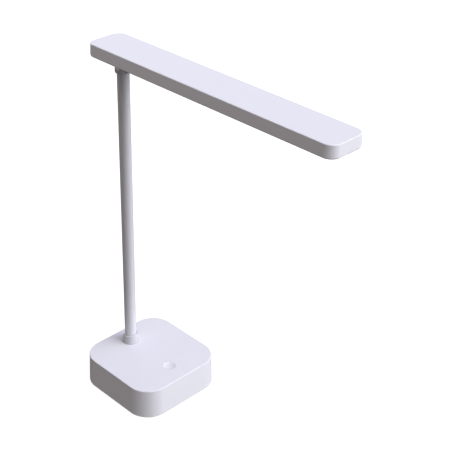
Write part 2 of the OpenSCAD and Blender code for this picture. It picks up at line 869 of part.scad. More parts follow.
module spring_washer() {
    color("gray")
        translate([-pole_x, 0, z_spring])
            difference() {
                ring(stack_r, stem_d / 2 + seat_gap, spring_t);
                translate([0, -spring_split / 2, -past])
                    cube([stack_r + past, spring_split, spring_t + 2 * past]);
            }
}

// Disc keyed to the stem's flats; its lug meets the rib in the cover
module stop_disc() {
    color("dimgray")
        translate([-pole_x, 0, z_disc])
            difference() {
                union() {
                    cylinder(r = stack_r, h = disc_t);
                    rotate(lug_angle - lug_half)
                        rotate_extrude(angle = 2 * lug_half)
                            translate([stack_r - root, 0])
                                square([lug_r - stack_r + root, disc_t]);
                }
                intersection() {
                    translate([0, 0, -past])
                        cylinder(r = stem_d / 2 + seat_gap, h = disc_t + 2 * past);
                    translate([-stem_d, -stem_flats / 2 - seat_gap, -past])
                        cube([2 * stem_d, stem_flats + 2 * seat_gap, disc_t + 2 * past]);
                }
            }
}

module swivel_nut() {
    color("silver")
        translate([-pole_x, 0, z_nut])
            difference() {
                cylinder(d = nut_d, h = nut_t, $fn = 6);
                translate([0, 0, -past])
                    cylinder(r = stem_d / 2 + run_gap, h = nut_t + 2 * past);
            }
}

module fold_pin() {
    color("silver")
        translate([-pole_x, 0, 0])
            along_y(-collar_low_d / 2 + 2 * pin_cover + eps, collar_top_d / 2 - pin_cover,
                fold_pin_d / 2, [0, z_fold]);
}

module fold_washers() {
    color("silver")
        for (s = [0, 1])
            translate([-pole_x, 0, z_fold])
                mirror([0, s, 0])
                    translate([0, foot_half + run_gap, 0])
                        rotate([-90, 0, 0])
                            ring(fold_washer_r, fold_pin_d / 2 + run_gap, fold_washer_t);
}

// ---- pole ----

module lead_pass(from, to) {
    translate([lead_pass_x, 0, from])
        cylinder(r = lead_pass_r, h = to - from);
}

module pole_foot() {
    color("white")
        translate([-pole_x, 0, 0])
            difference() {
                union() {
                    intersection() {
                        translate([0, 0, z_fold])
                            rotate_extrude()
                                polygon(concat(arc(0, 0, foot_r, -90, 0, 12),
                                    [[foot_r, z_tube - z_fold], [0, z_tube - z_fold]]));
                        translate([-pole_d, -foot_half, z_fold - pole_d])
                            cube([2 * pole_d, 2 * foot_half, 2 * pole_d]);
                    }
                    translate([0, 0, z_tube - eps])
                        cylinder(r = plug_r, h = plug_l);
                }
                along_y(-pole_d, pole_d, fold_pin_d / 2 + run_gap, [0, z_fold]);
                lead_pass(z_fold - pole_d, z_tube + plug_l + past);
                dowel_hole(z_tube + dowel_up);
            }
}

module dowel_hole(z) {
    translate([-pole_d, 0, z])
        rotate([0, 90, 0])
            cylinder(r = dowel_d / 2, h = pole_d);
}

module dowel(z) {
    translate([-pole_x - foot_r + free_gap, 0, z])
        rotate([0, 90, 0])
            cylinder(r = dowel_d / 2 - eps, h = foot_r - free_gap - eps);
}

module foot_dowel() {
    color("silver") dowel(z_tube + dowel_up);
}

module cap_dowel() {
    color("silver") dowel(z_knuckle - dowel_up);
}

module pole_tube() {
    color("white")
        translate([-pole_x, 0, 0])
            difference() {
                translate([0, 0, z_tube])
                    ring(foot_r, foot_r - pole_wall, z_knuckle - z_tube);
                dowel_hole(z_tube + dowel_up);
                dowel_hole(z_knuckle - dowel_up);
            }
}

// Fork with two cheeks. Its top is round about the tilting axis, so that the bar
// clears it. Its slot lets the tongue lean back as far as the bar tilts up, and
// swing forward until it lies level.
module pole_cap() {
    r = knuckle_d / 2;
    up = z_tilt - z_knuckle;
    back = tilt_up + tilt_ease;
    far = 2 * knuckle_d;
    slot = concat(arc(0, 0, slot_r, 180 + back, 270), [[far, -slot_r], [far, far]],
        [[-slot_r * cos(back) - far * sin(back), -slot_r * sin(back) + far * cos(back)]]);
    color("white")
        translate([-pole_x, 0, 0])
            difference() {
                union() {
                    intersection() {
                        translate([0, 0, z_knuckle])
                            rotate_extrude()
                                polygon(concat([[0, 0]],
                                    arc(r - knuckle_edge, knuckle_edge, knuckle_edge, -90, 0),
                                    [[r, up + r + past], [0, up + r + past]]));
                        union() {
                            along_y(-knuckle_d, knuckle_d, knuckle_top_r, [0, z_tilt]);
                            translate([-knuckle_d, -knuckle_d, z_knuckle - past])
                                cube([2 * knuckle_d, 2 * knuckle_d, up + past]);
                        }
                    }
                    translate([0, 0, z_knuckle - plug_l])
                        cylinder(r = plug_r, h = plug_l + root);
                }
                translate([0, slot_half, z_tilt])
                    rotate([90, 0, 0])
                        linear_extrude(2 * slot_half)
                            polygon(slot);
                along_y(-r, r, tilt_pin_d / 2 + eps, [0, z_tilt]);
                along_y(pocket_y, knuckle_d, screw_head_r + seat_gap, [0, z_tilt]);
                translate([0, -pocket_y, z_tilt])
                    rotate([90, 0, 0])
                        cylinder(d = tilt_nut_af / cos(30) + 2 * seat_gap, h = r, $fn = 6);
                lead_pass(z_knuckle - plug_l - past, z_tilt);
                dowel_hole(z_knuckle - dowel_up);
            }
}

module pole_leads() {
    color("gold")
        for (y = [-1, 1])
            lead([[-pole_x + lead_pass_x, y * (lead_d / 2), z_fold + fold_pin_d],
                [-pole_x + lead_pass_x, y * (lead_d / 2), (z_fold + z_tilt) / 2],
                [-pole_x + lead_pass_x, y * (lead_d / 2), z_knuckle - eps]],
                [1, 0, 0], lead_d - 2 * eps);
}

module tilt_pin() {
    color("silver")
        translate([-pole_x, 0, 0])
            difference() {
                union() {
                    along_y(-pocket_y - tilt_nut_t, pocket_y + eps, tilt_pin_d / 2, [0, z_tilt]);
                    along_y(pocket_y, pocket_y + screw_head_t, screw_head_r, [0, z_tilt]);
                }
                translate([0, pocket_y + screw_head_t * (1 - hex_socket), z_tilt])
                    rotate([-90, 0, 0])
                        cylinder(d = 2 * screw_head_r * hex_socket, h = screw_head_t, $fn = 6);
            }
}

module tilt_nut() {
    color("silver")
        translate([-pole_x, -pocket_y, z_tilt])
            rotate([90, 0, 0])
                difference() {
                    cylinder(d = tilt_nut_af / cos(30), h = tilt_nut_t, $fn = 6);
                    translate([0, 0, -past])
                        cylinder(r = tilt_pin_d / 2 + eps, h = tilt_nut_t + 2 * past);
                }
}

module tilt_washers() {
    color("silver")
        for (s = [0, 1])
            translate([-pole_x, 0, z_tilt])
                mirror([0, s, 0])
                    translate([0, tongue_t / 2 + run_gap, 0])
                        rotate([-90, 0, 0])
                            ring(tilt_washer_r, tilt_pin_d / 2 + run_gap, tilt_washer_t);
}

// ---- light bar ----

// Outline of the light bar's side: rounded foot, leaning wall, rounded top edge
function bar_line() = concat(
    arc(bar_corner_r - bar_foot, bar_foot, bar_foot, -90, 0),
    arc(bar_corner_r - bar_lean - bar_edge_r, bar_t - bar_edge_r, bar_edge_r, 0, 90));

// Straight-sided block that lies this far inside the light bar's outline
module bar_block(shrink, z, h) {
    r = bar_corner_r - shrink;
    translate([bar_mid, 0, z])
        soft_block(bar_core_x, bar_core_y, plain_line(r, r, h));
}

module head_shell() {
    color("white") difference() {
        union() {
            difference() {
                translate([bar_mid, 0, bar_z])
                    soft_block(bar_core_x, bar_core_y, bar_line());
                bar_block(bar_rim, bar_z - past, z_ledge - bar_z + past);
                bar_block(bar_rim + bar_ledge, bar_z, z_roof - bar_z);
            }
            for (p = bracket_holes)
                translate([p.x, p.y, z_bracket + bracket_t])
                    cylinder(d = bracket_post_d, h = z_roof - z_bracket - bracket_t + eps);
            for (y = [-1, 1])
                translate([cover_screw_x, y * cover_screw_y, z_ledge])
                    cylinder(d = bar_post_d, h = z_roof - z_ledge + eps);
            for (x = led_screw_x)
                translate([x, 0, z_led_board + led_board_t])
                    cylinder(d = bar_post_d, h = led_post_h + eps);
        }
        for (p = bracket_holes)
            translate([p.x, p.y, z_bracket])
                cylinder(d = bracket_screw[0], h = bracket_t + bracket_screw_in + hole_spare);
        for (y = [-1, 1])
            translate([cover_screw_x, y * cover_screw_y, z_ledge - past])
                cylinder(d = bracket_screw[0], h = past + cover_screw_l + hole_spare);
        for (x = led_screw_x)
            translate([x, 0, z_led_board])
                cylinder(d = board_screw[0], h = led_board_t + led_screw_in + hole_spare);
    }
}

module panel(from, to) {
    intersection() {
        bar_block(bar_rim + seat_gap, z_panel, panel_t);
        translate([from, -bar_w / 2, z_panel - past])
            cube([to - from, bar_w, panel_t + 2 * past]);
    }
}

module light_panel() {
    color("ghostwhite")
        panel(split_x + seat_gap, bar_x0 + bar_l);
}

module hinge_cover() {
    color("white") difference() {
        panel(bar_x0, split_x - seat_gap);
        translate([-pole_x - tongue_r - tilt_gap, -tongue_t / 2 - tilt_gap, z_panel - past])
            cube([2 * (tongue_r + tilt_gap), tongue_t + 2 * tilt_gap, panel_t + 2 * past]);
        for (y = [-1, 1]) {
            translate([cover_screw_x, y * cover_screw_y, z_panel - past])
                cylinder(d = bracket_screw[0] + 2 * seat_gap, h = panel_t + 2 * past);
            translate([cover_screw_x, y * cover_screw_y, z_panel - past])
                cylinder(d = bracket_screw[1] + 2 * seat_gap, h = panel_t - cover_seat + past);
        }
    }
}

module cover_screws() {
    color("silver")
        for (y = [-1, 1])
            translate([cover_screw_x, y * cover_screw_y, z_ledge - cover_seat])
                screw([bracket_screw[0] - 2 * eps, bracket_screw[1], panel_t - cover_seat],
                    cover_screw_l);
}

// Plate inside the bar with the tongue that goes down between the cheeks
module head_bracket() {
    color("lightgray") difference() {
        union() {
            translate([-pole_x - bracket_l / 2, -bracket_w / 2, z_bracket])
                cube([bracket_l, bracket_w, bracket_t]);
            translate([-pole_x, tongue_t / 2, z_tilt])
                rotate([90, 0, 0])
                    linear_extrude(tongue_t)
                        polygon(concat(arc(0, 0, tongue_r, 180, 360, 16),
                            [[tongue_r, z_bracket - z_tilt + eps],
                             [-tongue_r, z_bracket - z_tilt + eps]]));
        }
        for (p = bracket_holes)
            translate([p.x, p.y, z_bracket - past])
                cylinder(d = bracket_screw[0] + 2 * seat_gap, h = bracket_t + 2 * past);
        translate([-pole_x, 0, 0])
            along_y(-tongue_t, tongue_t, tilt_pin_d / 2 + run_gap, [0, z_tilt]);
    }
}

module bracket_screws() {
    color("silver")
        for (p = bracket_holes)
            translate([p.x, p.y, z_bracket])
                screw([bracket_screw[0] - 2 * eps, bracket_screw[1], bracket_screw[2]],
                    bracket_t + bracket_screw_in);
}

module led_board() {
    color("whitesmoke") difference() {
        translate([led_board_x0, -led_board_w / 2, z_led_board])
            cube([led_board_l, led_board_w, led_board_t]);
        for (x = led_screw_x)
            translate([x, 0, z_led_board - past])
                cylinder(d = board_screw[0] + 2 * seat_gap, h = led_board_t + 2 * past);
    }
}

module led_rows() {
    color("khaki")
        for (i = [0:led_count - 1], y = [-1, 1])
            chip([led_x0 + i * led_pitch, y * led_row_gap / 2, z_led_board - led_size.z], led_size);
}

module led_board_screws() {
    color("silver")
        for (x = led_screw_x)
            translate([x, 0, z_led_board])
                screw([board_screw[0] - 2 * eps, board_screw[1], board_screw[2]],
                    led_board_t + led_screw_in);
}

module head_leads() {
    under_bracket = z_bracket - lead_d;
    under_board = z_led_board - lead_d / 2 - eps;
    for (y = [-head_lead_y, head_lead_y])
        color(y > 0 ? "red" : "black")
            lead([[-pole_x + tongue_r + 2 * free_gap, y, under_bracket],
                [-pole_x + bracket_l / 2 + head_lead_run, y, under_bracket],
                [led_board_x0 + head_lead_run, y, under_board],
                [led_board_x0 + led_margin, y, under_board]], [0, 1, 0]);
}

// ---- button ----

module button_cap() {
    r = button_d / 2;
    dish_r = r - dish_rim;
    ball = (dish_r * dish_r + dish_depth * dish_depth) / (2 * dish_depth);
    color("white")
        translate([button_at, 0, 0])
            difference() {
                union() {
                    translate([0, 0, z_button])
                        cylinder(r = r, h = z_top - z_button);
                    translate([0, 0, z_button])
                        cylinder(r = r + flange_lip, h = flange_t);
                }
                translate([0, 0, z_top + ball - dish_depth])
                    sphere(r = ball);
                translate([0, 0, z_button - past])
                    ring(r - cap_wall, plunger_d / 2,
                        z_top - dish_depth - cap_skin - z_button + past);
            }
}

module switch_plunger() {
    color("dimgray")
        translate([button_at, 0, z_plunger - plunger_out - plunger_in])
            cylinder(d = plunger_d, h = plunger_out + plunger_in);
}

base_cover();
base_plate();
rubber_pad();
plate_screws();
ballast_plate();
ballast_screws();
battery_cradle();
battery_cell_front();
battery_cell_rear();
battery_tabs();
battery_leads();
main_board();
main_board_parts();
board_screws();
tact_switch();
charge_board();
charge_board_parts();
charge_screws();
usb_socket();
link_leads();
swivel_bush();
swivel_turret();
thrust_washer();
spring_washer();
stop_disc();
swivel_nut();
fold_pin();
fold_washers();
pole_foot();
pole_tube();
pole_cap();
pole_leads();
foot_dowel();
cap_dowel();
tilt_pin();
tilt_nut();
tilt_washers();
head_shell();
light_panel();
hinge_cover();
head_bracket();
bracket_screws();
cover_screws();
led_board();
led_rows();
led_board_screws();
head_leads();
button_cap();
switch_plunger();
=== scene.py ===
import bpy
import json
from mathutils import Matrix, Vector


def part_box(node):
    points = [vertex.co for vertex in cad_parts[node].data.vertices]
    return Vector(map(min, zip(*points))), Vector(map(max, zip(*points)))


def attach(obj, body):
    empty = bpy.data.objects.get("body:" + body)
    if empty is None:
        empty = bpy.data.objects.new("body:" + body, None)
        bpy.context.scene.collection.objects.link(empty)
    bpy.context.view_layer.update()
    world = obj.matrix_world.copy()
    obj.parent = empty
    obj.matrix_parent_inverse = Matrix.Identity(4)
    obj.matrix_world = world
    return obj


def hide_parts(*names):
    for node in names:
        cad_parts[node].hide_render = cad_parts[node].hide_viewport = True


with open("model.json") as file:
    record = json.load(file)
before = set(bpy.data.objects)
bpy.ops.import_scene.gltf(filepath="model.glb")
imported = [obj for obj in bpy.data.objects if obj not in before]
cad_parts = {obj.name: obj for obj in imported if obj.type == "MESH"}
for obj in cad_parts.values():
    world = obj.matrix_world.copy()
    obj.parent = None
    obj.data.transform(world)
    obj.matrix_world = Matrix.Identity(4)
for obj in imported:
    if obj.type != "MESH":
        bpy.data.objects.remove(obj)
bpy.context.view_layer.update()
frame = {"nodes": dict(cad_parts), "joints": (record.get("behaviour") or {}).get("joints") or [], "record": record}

import json
import math

import bmesh
import bpy
from mathutils import Matrix, Vector

MM = 0.001
WELD = 0.001                # points nearer than this, in millimetres, are one
joints = {joint["name"]: Vector(joint["pos_m"]) / MM for joint in frame["joints"]
          if "pos_m" in joint}
pole_x = joints["pole_swivel"].x
z_fold = joints["pole_fold"].z
z_tilt = joints["head_tilt"].z


def span(node):
    """Lowest and highest corner of a CAD node, in millimetres."""
    low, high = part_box(node)
    return low / MM, high / MM


def parts_of(node):
    """Lowest and highest corner of each separate solid in a CAD node, in millimetres."""
    shape = bmesh.new()
    shape.from_mesh(frame["nodes"][node].data)
    bmesh.ops.remove_doubles(shape, verts=shape.verts, dist=WELD * MM)
    found, left = [], set(shape.verts)
    while left:
        group, waiting = [], [left.pop()]
        while waiting:
            vert = waiting.pop()
            group.append(vert.co / MM)
            near = {edge.other_vert(vert) for edge in vert.link_edges} & left
            left -= near
            waiting += near
        found.append((Vector(map(min, *group)), Vector(map(max, *group))))
    shape.free()
    return sorted(found, key=lambda part: tuple(part[0]))


# ---- camera, floor and studio light ----

scene = bpy.context.scene
scene.view_settings.view_transform = "Standard"

CAMERA_AT = (0.68922, -0.59598, 0.72637)
CAMERA_TURN = 2.3929        # where it looks, anticlockwise from +X, in radians
CAMERA_DIP = 0.5294         # and how far down
FOCAL = 87.36               # mm, on a 36 mm sensor
SHIFT = (0.0962, -0.0116)   # the lamp's picture is cut from a wider one


def in_scene(name, data):
    """New object in the scene."""
    made = bpy.data.objects.new(name, data)
    scene.collection.objects.link(made)
    return made


def heading(turn, rise):
    """Direction with this turn from +X and this rise above the floor, in radians."""
    return Vector((math.cos(turn) * math.cos(rise), math.sin(turn) * math.cos(rise),
                   math.sin(rise)))


def camera():
    data = bpy.data.cameras.new("camera")
    data.lens = FOCAL
    data.shift_x, data.shift_y = SHIFT
    towards = heading(CAMERA_TURN, -CAMERA_DIP)
    scene.camera = in_scene("camera", data)
    scene.camera.matrix_world = (Matrix.Translation(CAMERA_AT)
                                 @ towards.to_track_quat("-Z", "Y").to_matrix().to_4x4())


def add(tree, kind, inputs=(), **settings):
    """Adds a node, and gives its inputs their values or links."""
    made = tree.nodes.new(kind)
    for name, value in settings.items():
        setattr(made, name, value)
    for name, value in dict(inputs).items():
        if isinstance(value, bpy.types.NodeSocket):
            tree.links.new(value, made.inputs[name])
        else:
            made.inputs[name].default_value = value
    return made


def linear(hex_colour):
    """Linear colour of an sRGB hex one."""
    channels = [int(hex_colour[i:i + 2], 16) / 255 for i in (0, 2, 4)]
    return [c / 12.92 if c <= 0.04045 else ((c + 0.055) / 1.055) ** 2.4 for c in channels] + [1]


# Studio light as soft lobes: turn from +X and height above the floor that each comes from, in
# degrees, how tight it is, and its colour times its strength
LIGHTS = {
    "key over the bar's end": (28, 32, 10, (3.65, 3.62, 3.62)),
    "cool window beside it": (60, 32, 10, (1.15, 1.35, 2.3)),
    "warm strip under the window": (60, 5, 10, (0.9, 0.85, 0.6)),
    "low strip at the bar's end": (0, 6, 10, (0.95, 0.94, 0.93)),
    "overhead": (0, 60, 10, (3.5, 3.4, 3.72)),
    "warm fill behind the pole": (210, 5, 10, (1.45, 1.3, 1.22)),
    "bounce off the table": (285, -15, 4, (0.2, 0.19, 0.187)),
    "back light": (140, 15, 10, (1.15, 1.15, 1.25))}


def studio():
    world = bpy.data.worlds.new("studio")
    world.use_nodes = True
    scene.world = world
    tree = world.node_tree
    tree.nodes.clear()
    along = add(tree, "ShaderNodeTexCoord").outputs["Generated"]
    total = (0, 0, 0)
    for turn, height, tightness, colour in LIGHTS.values():
        out = heading(math.radians(turn), math.radians(height))
        facing = add(tree, "ShaderNodeVectorMath", {0: along, 1: out}, operation="DOT_PRODUCT")
        front = add(tree, "ShaderNodeMath", {0: facing.outputs["Value"], 1: 0.0},
                    operation="MAXIMUM")
        lobe = add(tree, "ShaderNodeMath", {0: front.outputs[0], 1: tightness},
                   operation="POWER")
        total = add(tree, "ShaderNodeVectorMath", {0: lobe.outputs[0], 1: colour, 2: total},
                    operation="MULTIPLY_ADD").outputs[0]
    even = add(tree, "ShaderNodeBackground", {"Color": total})
    # past the floor the camera sees white
    paper = add(tree, "ShaderNodeBackground", {"Color": (1, 1, 1, 1), "Strength": 1})
    seen = add(tree, "ShaderNodeLightPath").outputs["Is Camera Ray"]
    both = add(tree, "ShaderNodeMixShader", {0: seen, 1: even.outputs[0], 2: paper.outputs[0]})
    add(tree, "ShaderNodeOutputWorld", {"Surface": both.outputs[0]})


def floor():
    half, grey, glow = 12, 0.3, 0.9
    mesh = bpy.data.meshes.new("floor")
    mesh.from_pydata([(-half, -half, 0), (half, -half, 0), (half, half, 0), (-half, half, 0)],
                     [], [(0, 1, 2, 3)])
    made = in_scene("floor", mesh)
    # White paper lit from below as well, so that it stays pale in the lamp's shadow. It
    # neither lights nor shades the lamp, and from underneath it is clear.
    paper = bpy.data.materials.new("white paper")
    paper.use_nodes = True
    tree = paper.node_tree
    tree.nodes.clear()
    matt = add(tree, "ShaderNodeBsdfPrincipled", {
        "Base Color": (grey, grey, grey, 1), "Roughness": 1, "Specular IOR Level": 0,
        "Emission Color": (1, 1, 1, 1), "Emission Strength": glow})
    clear = add(tree, "ShaderNodeBsdfTransparent")
    under = add(tree, "ShaderNodeNewGeometry").outputs["Backfacing"]
    both = add(tree, "ShaderNodeMixShader", {0: under, 1: matt.outputs[0], 2: clear.outputs[0]})
    add(tree, "ShaderNodeOutputMaterial", {"Surface": both.outputs[0]})
    mesh.materials.append(paper)
    made.visible_diffuse = False
    made.visible_glossy = False
    made.visible_shadow = False


camera()
studio()
floor()


# ---- finishes ----

WHITE = "E1E1E4"
WHITE_SHADE = "DDDDE1"
# Both greyer coats are painted shade. The tube's coat darkens the pole. The castings' coat darkens the collar, the
# knuckle, the pole's foot and the bracket further, standing in for the shade under the light bar and round the
# collar's foot.
TUBE_COAT_WITH_PAINTED_SHADE = "CFCFD3"             # the tube's coat is a shade greyer than the mouldings,
CAST_COAT_WITH_PAINTED_SHADE = "C4C4C8"        # and the castings' coat is greyer still
WAVE_TURN = 20              # a wave texture turns 20 radians in each unit of its scale


def per(millimetres):
    """Texture scale that gives a pattern this size."""
    return 1 / (millimetres * MM)


class Finish:
    """Material whose patterns follow the place on the piece."""

    def __init__(self, name, colour, roughness, ior=1.5, **more):
        made = self.material = bpy.data.materials.new(name)
        made.use_nodes = True
        self.tree = made.node_tree
        self.tree.nodes.clear()
        self.shader = add(self.tree, "ShaderNodeBsdfPrincipled", {
            "Base Color": linear(colour), "Roughness": roughness, "IOR": ior,
            **{key.replace("_", " ").title(): value for key, value in more.items()}})
        add(self.tree, "ShaderNodeOutputMaterial", {"Surface": self.shader.outputs[0]})
        self.at = add(self.tree, "ShaderNodeTexCoord").outputs["Object"]

    def drawn(self, kind, size, inputs=(), place=(), **settings):
        """Strength of a pattern of one size in millimetres, or of one size along each axis.
        Where a place is given, the pattern is moved or turned by it."""
        at, scale = self.at, 1
        if isinstance(size, tuple):
            place = {"Scale": [per(each) for each in size]}
        else:
            scale = per(size)
        if place:
            at = add(self.tree, "ShaderNodeMapping", {"Vector": at, **place}).outputs[0]
        made = add(self.tree, "ShaderNodeTex" + kind,
                   {"Vector": at, "Scale": scale, **dict(inputs)}, **settings)
        return made.outputs["Distance" if kind == "Voronoi" else "Fac"]

    def lay(self, strength, relief=0, gloss=(), tones=()):
        """Lets a pattern raise the surface, in millimetres, and swing roughness and colour."""
        laid = {}
        if relief:
            laid["Normal"] = add(self.tree, "ShaderNodeBump", {
                "Height": strength, "Distance": relief * MM}).outputs[0]
        if gloss:
            laid["Roughness"] = add(self.tree, "ShaderNodeMapRange", {
                "Value": strength, "To Min": gloss[0], "To Max": gloss[1]}).outputs[0]
        if tones:
            laid["Base Color"] = add(self.tree, "ShaderNodeMix", {
                0: strength, 6: linear(tones[0]), 7: linear(tones[1])},
                data_type="RGBA").outputs[2]
        for name, socket in laid.items():
            self.tree.links.new(socket, self.shader.inputs[name])


def moulded_abs():
    # Injection-moulded ABS from a spark-eroded tool: white all through, satin, with a fine
    # even grain that takes the hardness off highlights and hides finger marks.
    skin = Finish("ABS satin white moulded", WHITE, 0.45, 1.53)
    # the grain is about 0.08 mm; drawn at 0.45 mm so that it shows
    skin.lay(skin.drawn("Noise", 0.45, {"Detail": 4, "Roughness": 0.6}), relief=0.012)
    # the melt's flow leaves slow clouds, a shade darker and a little smoother
    skin.lay(skin.drawn("Noise", 38, {"Detail": 2}), gloss=(0.5, 0.4),
             tones=(WHITE, WHITE_SHADE))
    return skin


def powder_coat():
    # Polyester powder coat baked on die-cast zinc: a little glossier, with the film's faint orange
    # peel instead of a moulded grain, and a greyer white that is painted shade on the castings.
    skin = Finish("powder coat satin white on zinc", CAST_COAT_WITH_PAINTED_SHADE, 0.38)
    # orange peel has waves of about 1 mm
    skin.lay(skin.drawn("Noise", 1.1, {"Detail": 2}), relief=0.03, gloss=(0.42, 0.34))
    return skin


def coated_tube():
    # Drawn aluminium tube with a sprayed and baked satin coat: the die's draw lines run the
    # length of the tube and just telegraph through the film.
    # its greyer white is painted shade that darkens the pole
    skin = Finish("baked coat satin white on drawn tube", TUBE_COAT_WITH_PAINTED_SHADE, 0.4)
    # draw lines about 0.3 mm apart, some 80 mm long
    lines = skin.drawn("Noise", (0.3, 0.3, 80), {"Detail": 3})
    peel = skin.drawn("Noise", 1.4, {"Detail": 2})
    height = add(skin.tree, "ShaderNodeMath", {0: lines, 1: peel}, operation="ADD")
    skin.lay(height.outputs[0], relief=0.012)
    skin.lay(lines, gloss=(0.44, 0.36))
    return skin


def matte_abs():
    # The plate under the base is the same ABS off a coarser tool, a shade greyer.
    skin = Finish("ABS matte moulded", "D8D8DA", 0.62, 1.53)
    # erosion pits about 0.15 mm; drawn at 0.6 mm so that they show
    skin.lay(skin.drawn("Voronoi", 0.6), relief=0.03, gloss=(0.56, 0.68))
    return skin


def silicone():
    # Compression-moulded silicone sheet: dark grey, dull, with the soft pebble of its press
    # plate and a bloom of dust that rubs off unevenly.
    skin = Finish("silicone rubber matte grey", "47474A", 0.72, 1.41)
    skin.lay(skin.drawn("Voronoi", 0.9, feature="SMOOTH_F1"), relief=0.06)
    skin.lay(skin.drawn("Noise", 16, {"Detail": 5}), gloss=(0.66, 0.82),
             tones=("404043", "55555A"))
    return skin


def opal_acrylic():
    # Cast opal acrylic with a fine matte lower face: milky, light goes a little way in and
    # comes out again, so its edges look soft.
    skin = Finish("acrylic opal matte", "F1F1EE", 0.38, 1.49, subsurface_weight=0.35,
                  subsurface_scale=2 * MM, subsurface_radius=(1, 0.95, 0.9))
    # the face's frosting is about 0.05 mm; drawn at 0.4 mm so that it shows
    skin.lay(skin.drawn("Noise", 0.4, {"Detail": 3}), relief=0.008, gloss=(0.34, 0.44))
    return skin


def bright_zinc():
    # Barrel-plated steel with a blue-white passivate: bright, slightly clouded metal with
    # small scuffs from the barrel.
    skin = Finish("zinc plate bright on steel", "C9CCD2", 0.3, metallic=1)
    skin.lay(skin.drawn("Noise", 1.6, {"Detail": 4}), tones=("C2C8D2", "D6D4CE"))
    skin.lay(skin.drawn("Noise", 0.3, {"Detail": 2}), relief=0.004, gloss=(0.22, 0.42))
    return skin


def nickel_plate():
    # Deep-drawn steel strip with bright nickel: warm mirror with fine rolling lines.
    skin = Finish("nickel plate on rolled strip", "CFC9BE", 0.2, metallic=1)
    # rolling lines 0.1 mm apart and 12 mm long, along X
    skin.lay(skin.drawn("Noise", (12, 0.1, 0.1)), gloss=(0.14, 0.3))
    return skin


def gold_flash():
    # Thin gold over nickel on stamped contacts: yellow and bright, with worn wipe marks.
    skin = Finish("gold flash on contacts", "E6BC5C", 0.22, metallic=1)
    skin.lay(skin.drawn("Noise", 0.25), gloss=(0.15, 0.35))
    return skin


def moulded_black(name, colour, roughness):
    # Glass-filled polymer, moulded black: flat sheen broken up by fibres at the surface.
    skin = Finish(name, colour, roughness, 1.58)
    # fibres are about 0.2 mm long; drawn at 0.5 mm so that they show
    skin.lay(skin.drawn("Noise", 0.5, {"Detail": 5, "Distortion": 1.5}), relief=0.01,
             gloss=(roughness - 0.08, roughness + 0.1))
    return skin


def oiled_plate():
    # Hot-rolled steel, laser-cut and oiled: dark mill scale with rust-brown islands.
    skin = Finish("steel plate hot rolled oiled", "5A5B5E", 0.45, metallic=0.9)
    skin.lay(skin.drawn("Noise", 9, {"Detail": 7, "Roughness": 0.65}), relief=0.03,
             gloss=(0.32, 0.6), tones=("4A4C50", "6E6864"))
    return skin


def shrink_sleeve():
    # PVC sleeve shrunk on a cell: glossy blue, with a faint broad band each 44 mm along the
    # cell where it was drawn tight.
    skin = Finish("PVC shrink sleeve blue", "2F6FA8", 0.24, 1.53)
    bands = skin.drawn("Wave", 7 * WAVE_TURN, {"Distortion": 2, "Detail": 2},
                       bands_direction="Y")
    skin.lay(bands, relief=0.02, tones=("2B689F", "3374AE"))
    return skin


def solder_mask():
    # Glass-epoxy laminate under green solder mask: tracks show as raised lighter lines.
    skin = Finish("solder mask green on laminate", "14603A", 0.3, 1.55)
    # tracks 0.4 mm wide, 2 mm apart one way and 7 mm the other
    tracks = skin.drawn("Brick", 1, {
        "Brick Width": 7, "Row Height": 2, "Mortar Size": 0.2, "Mortar Smooth": 0.1,
        "Color1": linear("12583A"), "Color2": linear("14603A"), "Mortar": linear("2A8A55")},
        {"Rotation": (0, 0, math.radians(45))})
    skin.lay(tracks, relief=0.03)
    skin.tree.links.new(tracks.node.outputs["Color"], skin.shader.inputs["Base Color"])
    return skin


def insulation():
    # Extruded PVC on stranded wire: soft gloss. The lead on the +Y side is red and the other
    # one black.
    skin = Finish("PVC lead insulation", "A01E1E", 0.35, 1.53)
    side = add(skin.tree, "ShaderNodeSeparateXYZ", {0: skin.at}).outputs["Y"]
    left = add(skin.tree, "ShaderNodeMath", {0: side, 1: 0.0}, operation="GREATER_THAN")
    skin.lay(left.outputs[0], tones=("1D1D1F", "B02222"))
    skin.lay(skin.drawn("Noise", 0.8), gloss=(0.28, 0.42))
    return skin


def turned_acetal():
    # Acetal bush off the lathe: ivory, waxy, with the tool's fine rings about the pole.
    skin = Finish("acetal turned ivory", "ECE7DA", 0.34, 1.48)
    # the tool leaves a ring each 0.25 mm; drawn 1.6 mm apart so that they show
    rings = skin.drawn("Wave", 0.25 * WAVE_TURN, (), {"Location": (-pole_x * MM, 0, 0)},
                       wave_type="RINGS", rings_direction="Z")
    skin.lay(rings, relief=0.006)
    return skin


def white_mask():
    # White solder mask on an aluminium board: bright and flat, it sends light back down.
    skin = Finish("solder mask white on aluminium", "EDEDE9", 0.42, 1.55)
    skin.lay(skin.drawn("Noise", 0.5), relief=0.006)
    return skin


def phosphor():
    # Clear silicone over yellow phosphor, cast into each diode: amber, glossy, speckled.
    skin = Finish("phosphor under silicone", "E8C64A", 0.18, 1.41)
    # phosphor grains are a few hundredths; drawn at 0.2 mm so that they show
    skin.lay(skin.drawn("Noise", 0.2, {"Detail": 3}), tones=("DDB43A", "F2D568"))
    return skin


def diode_case():
    # White high-temperature nylon round each diode.
    skin = Finish("nylon diode case white", "F0F0EC", 0.4, 1.53)
    skin.lay(skin.drawn("Noise", 0.3), gloss=(0.35, 0.48))
    return skin


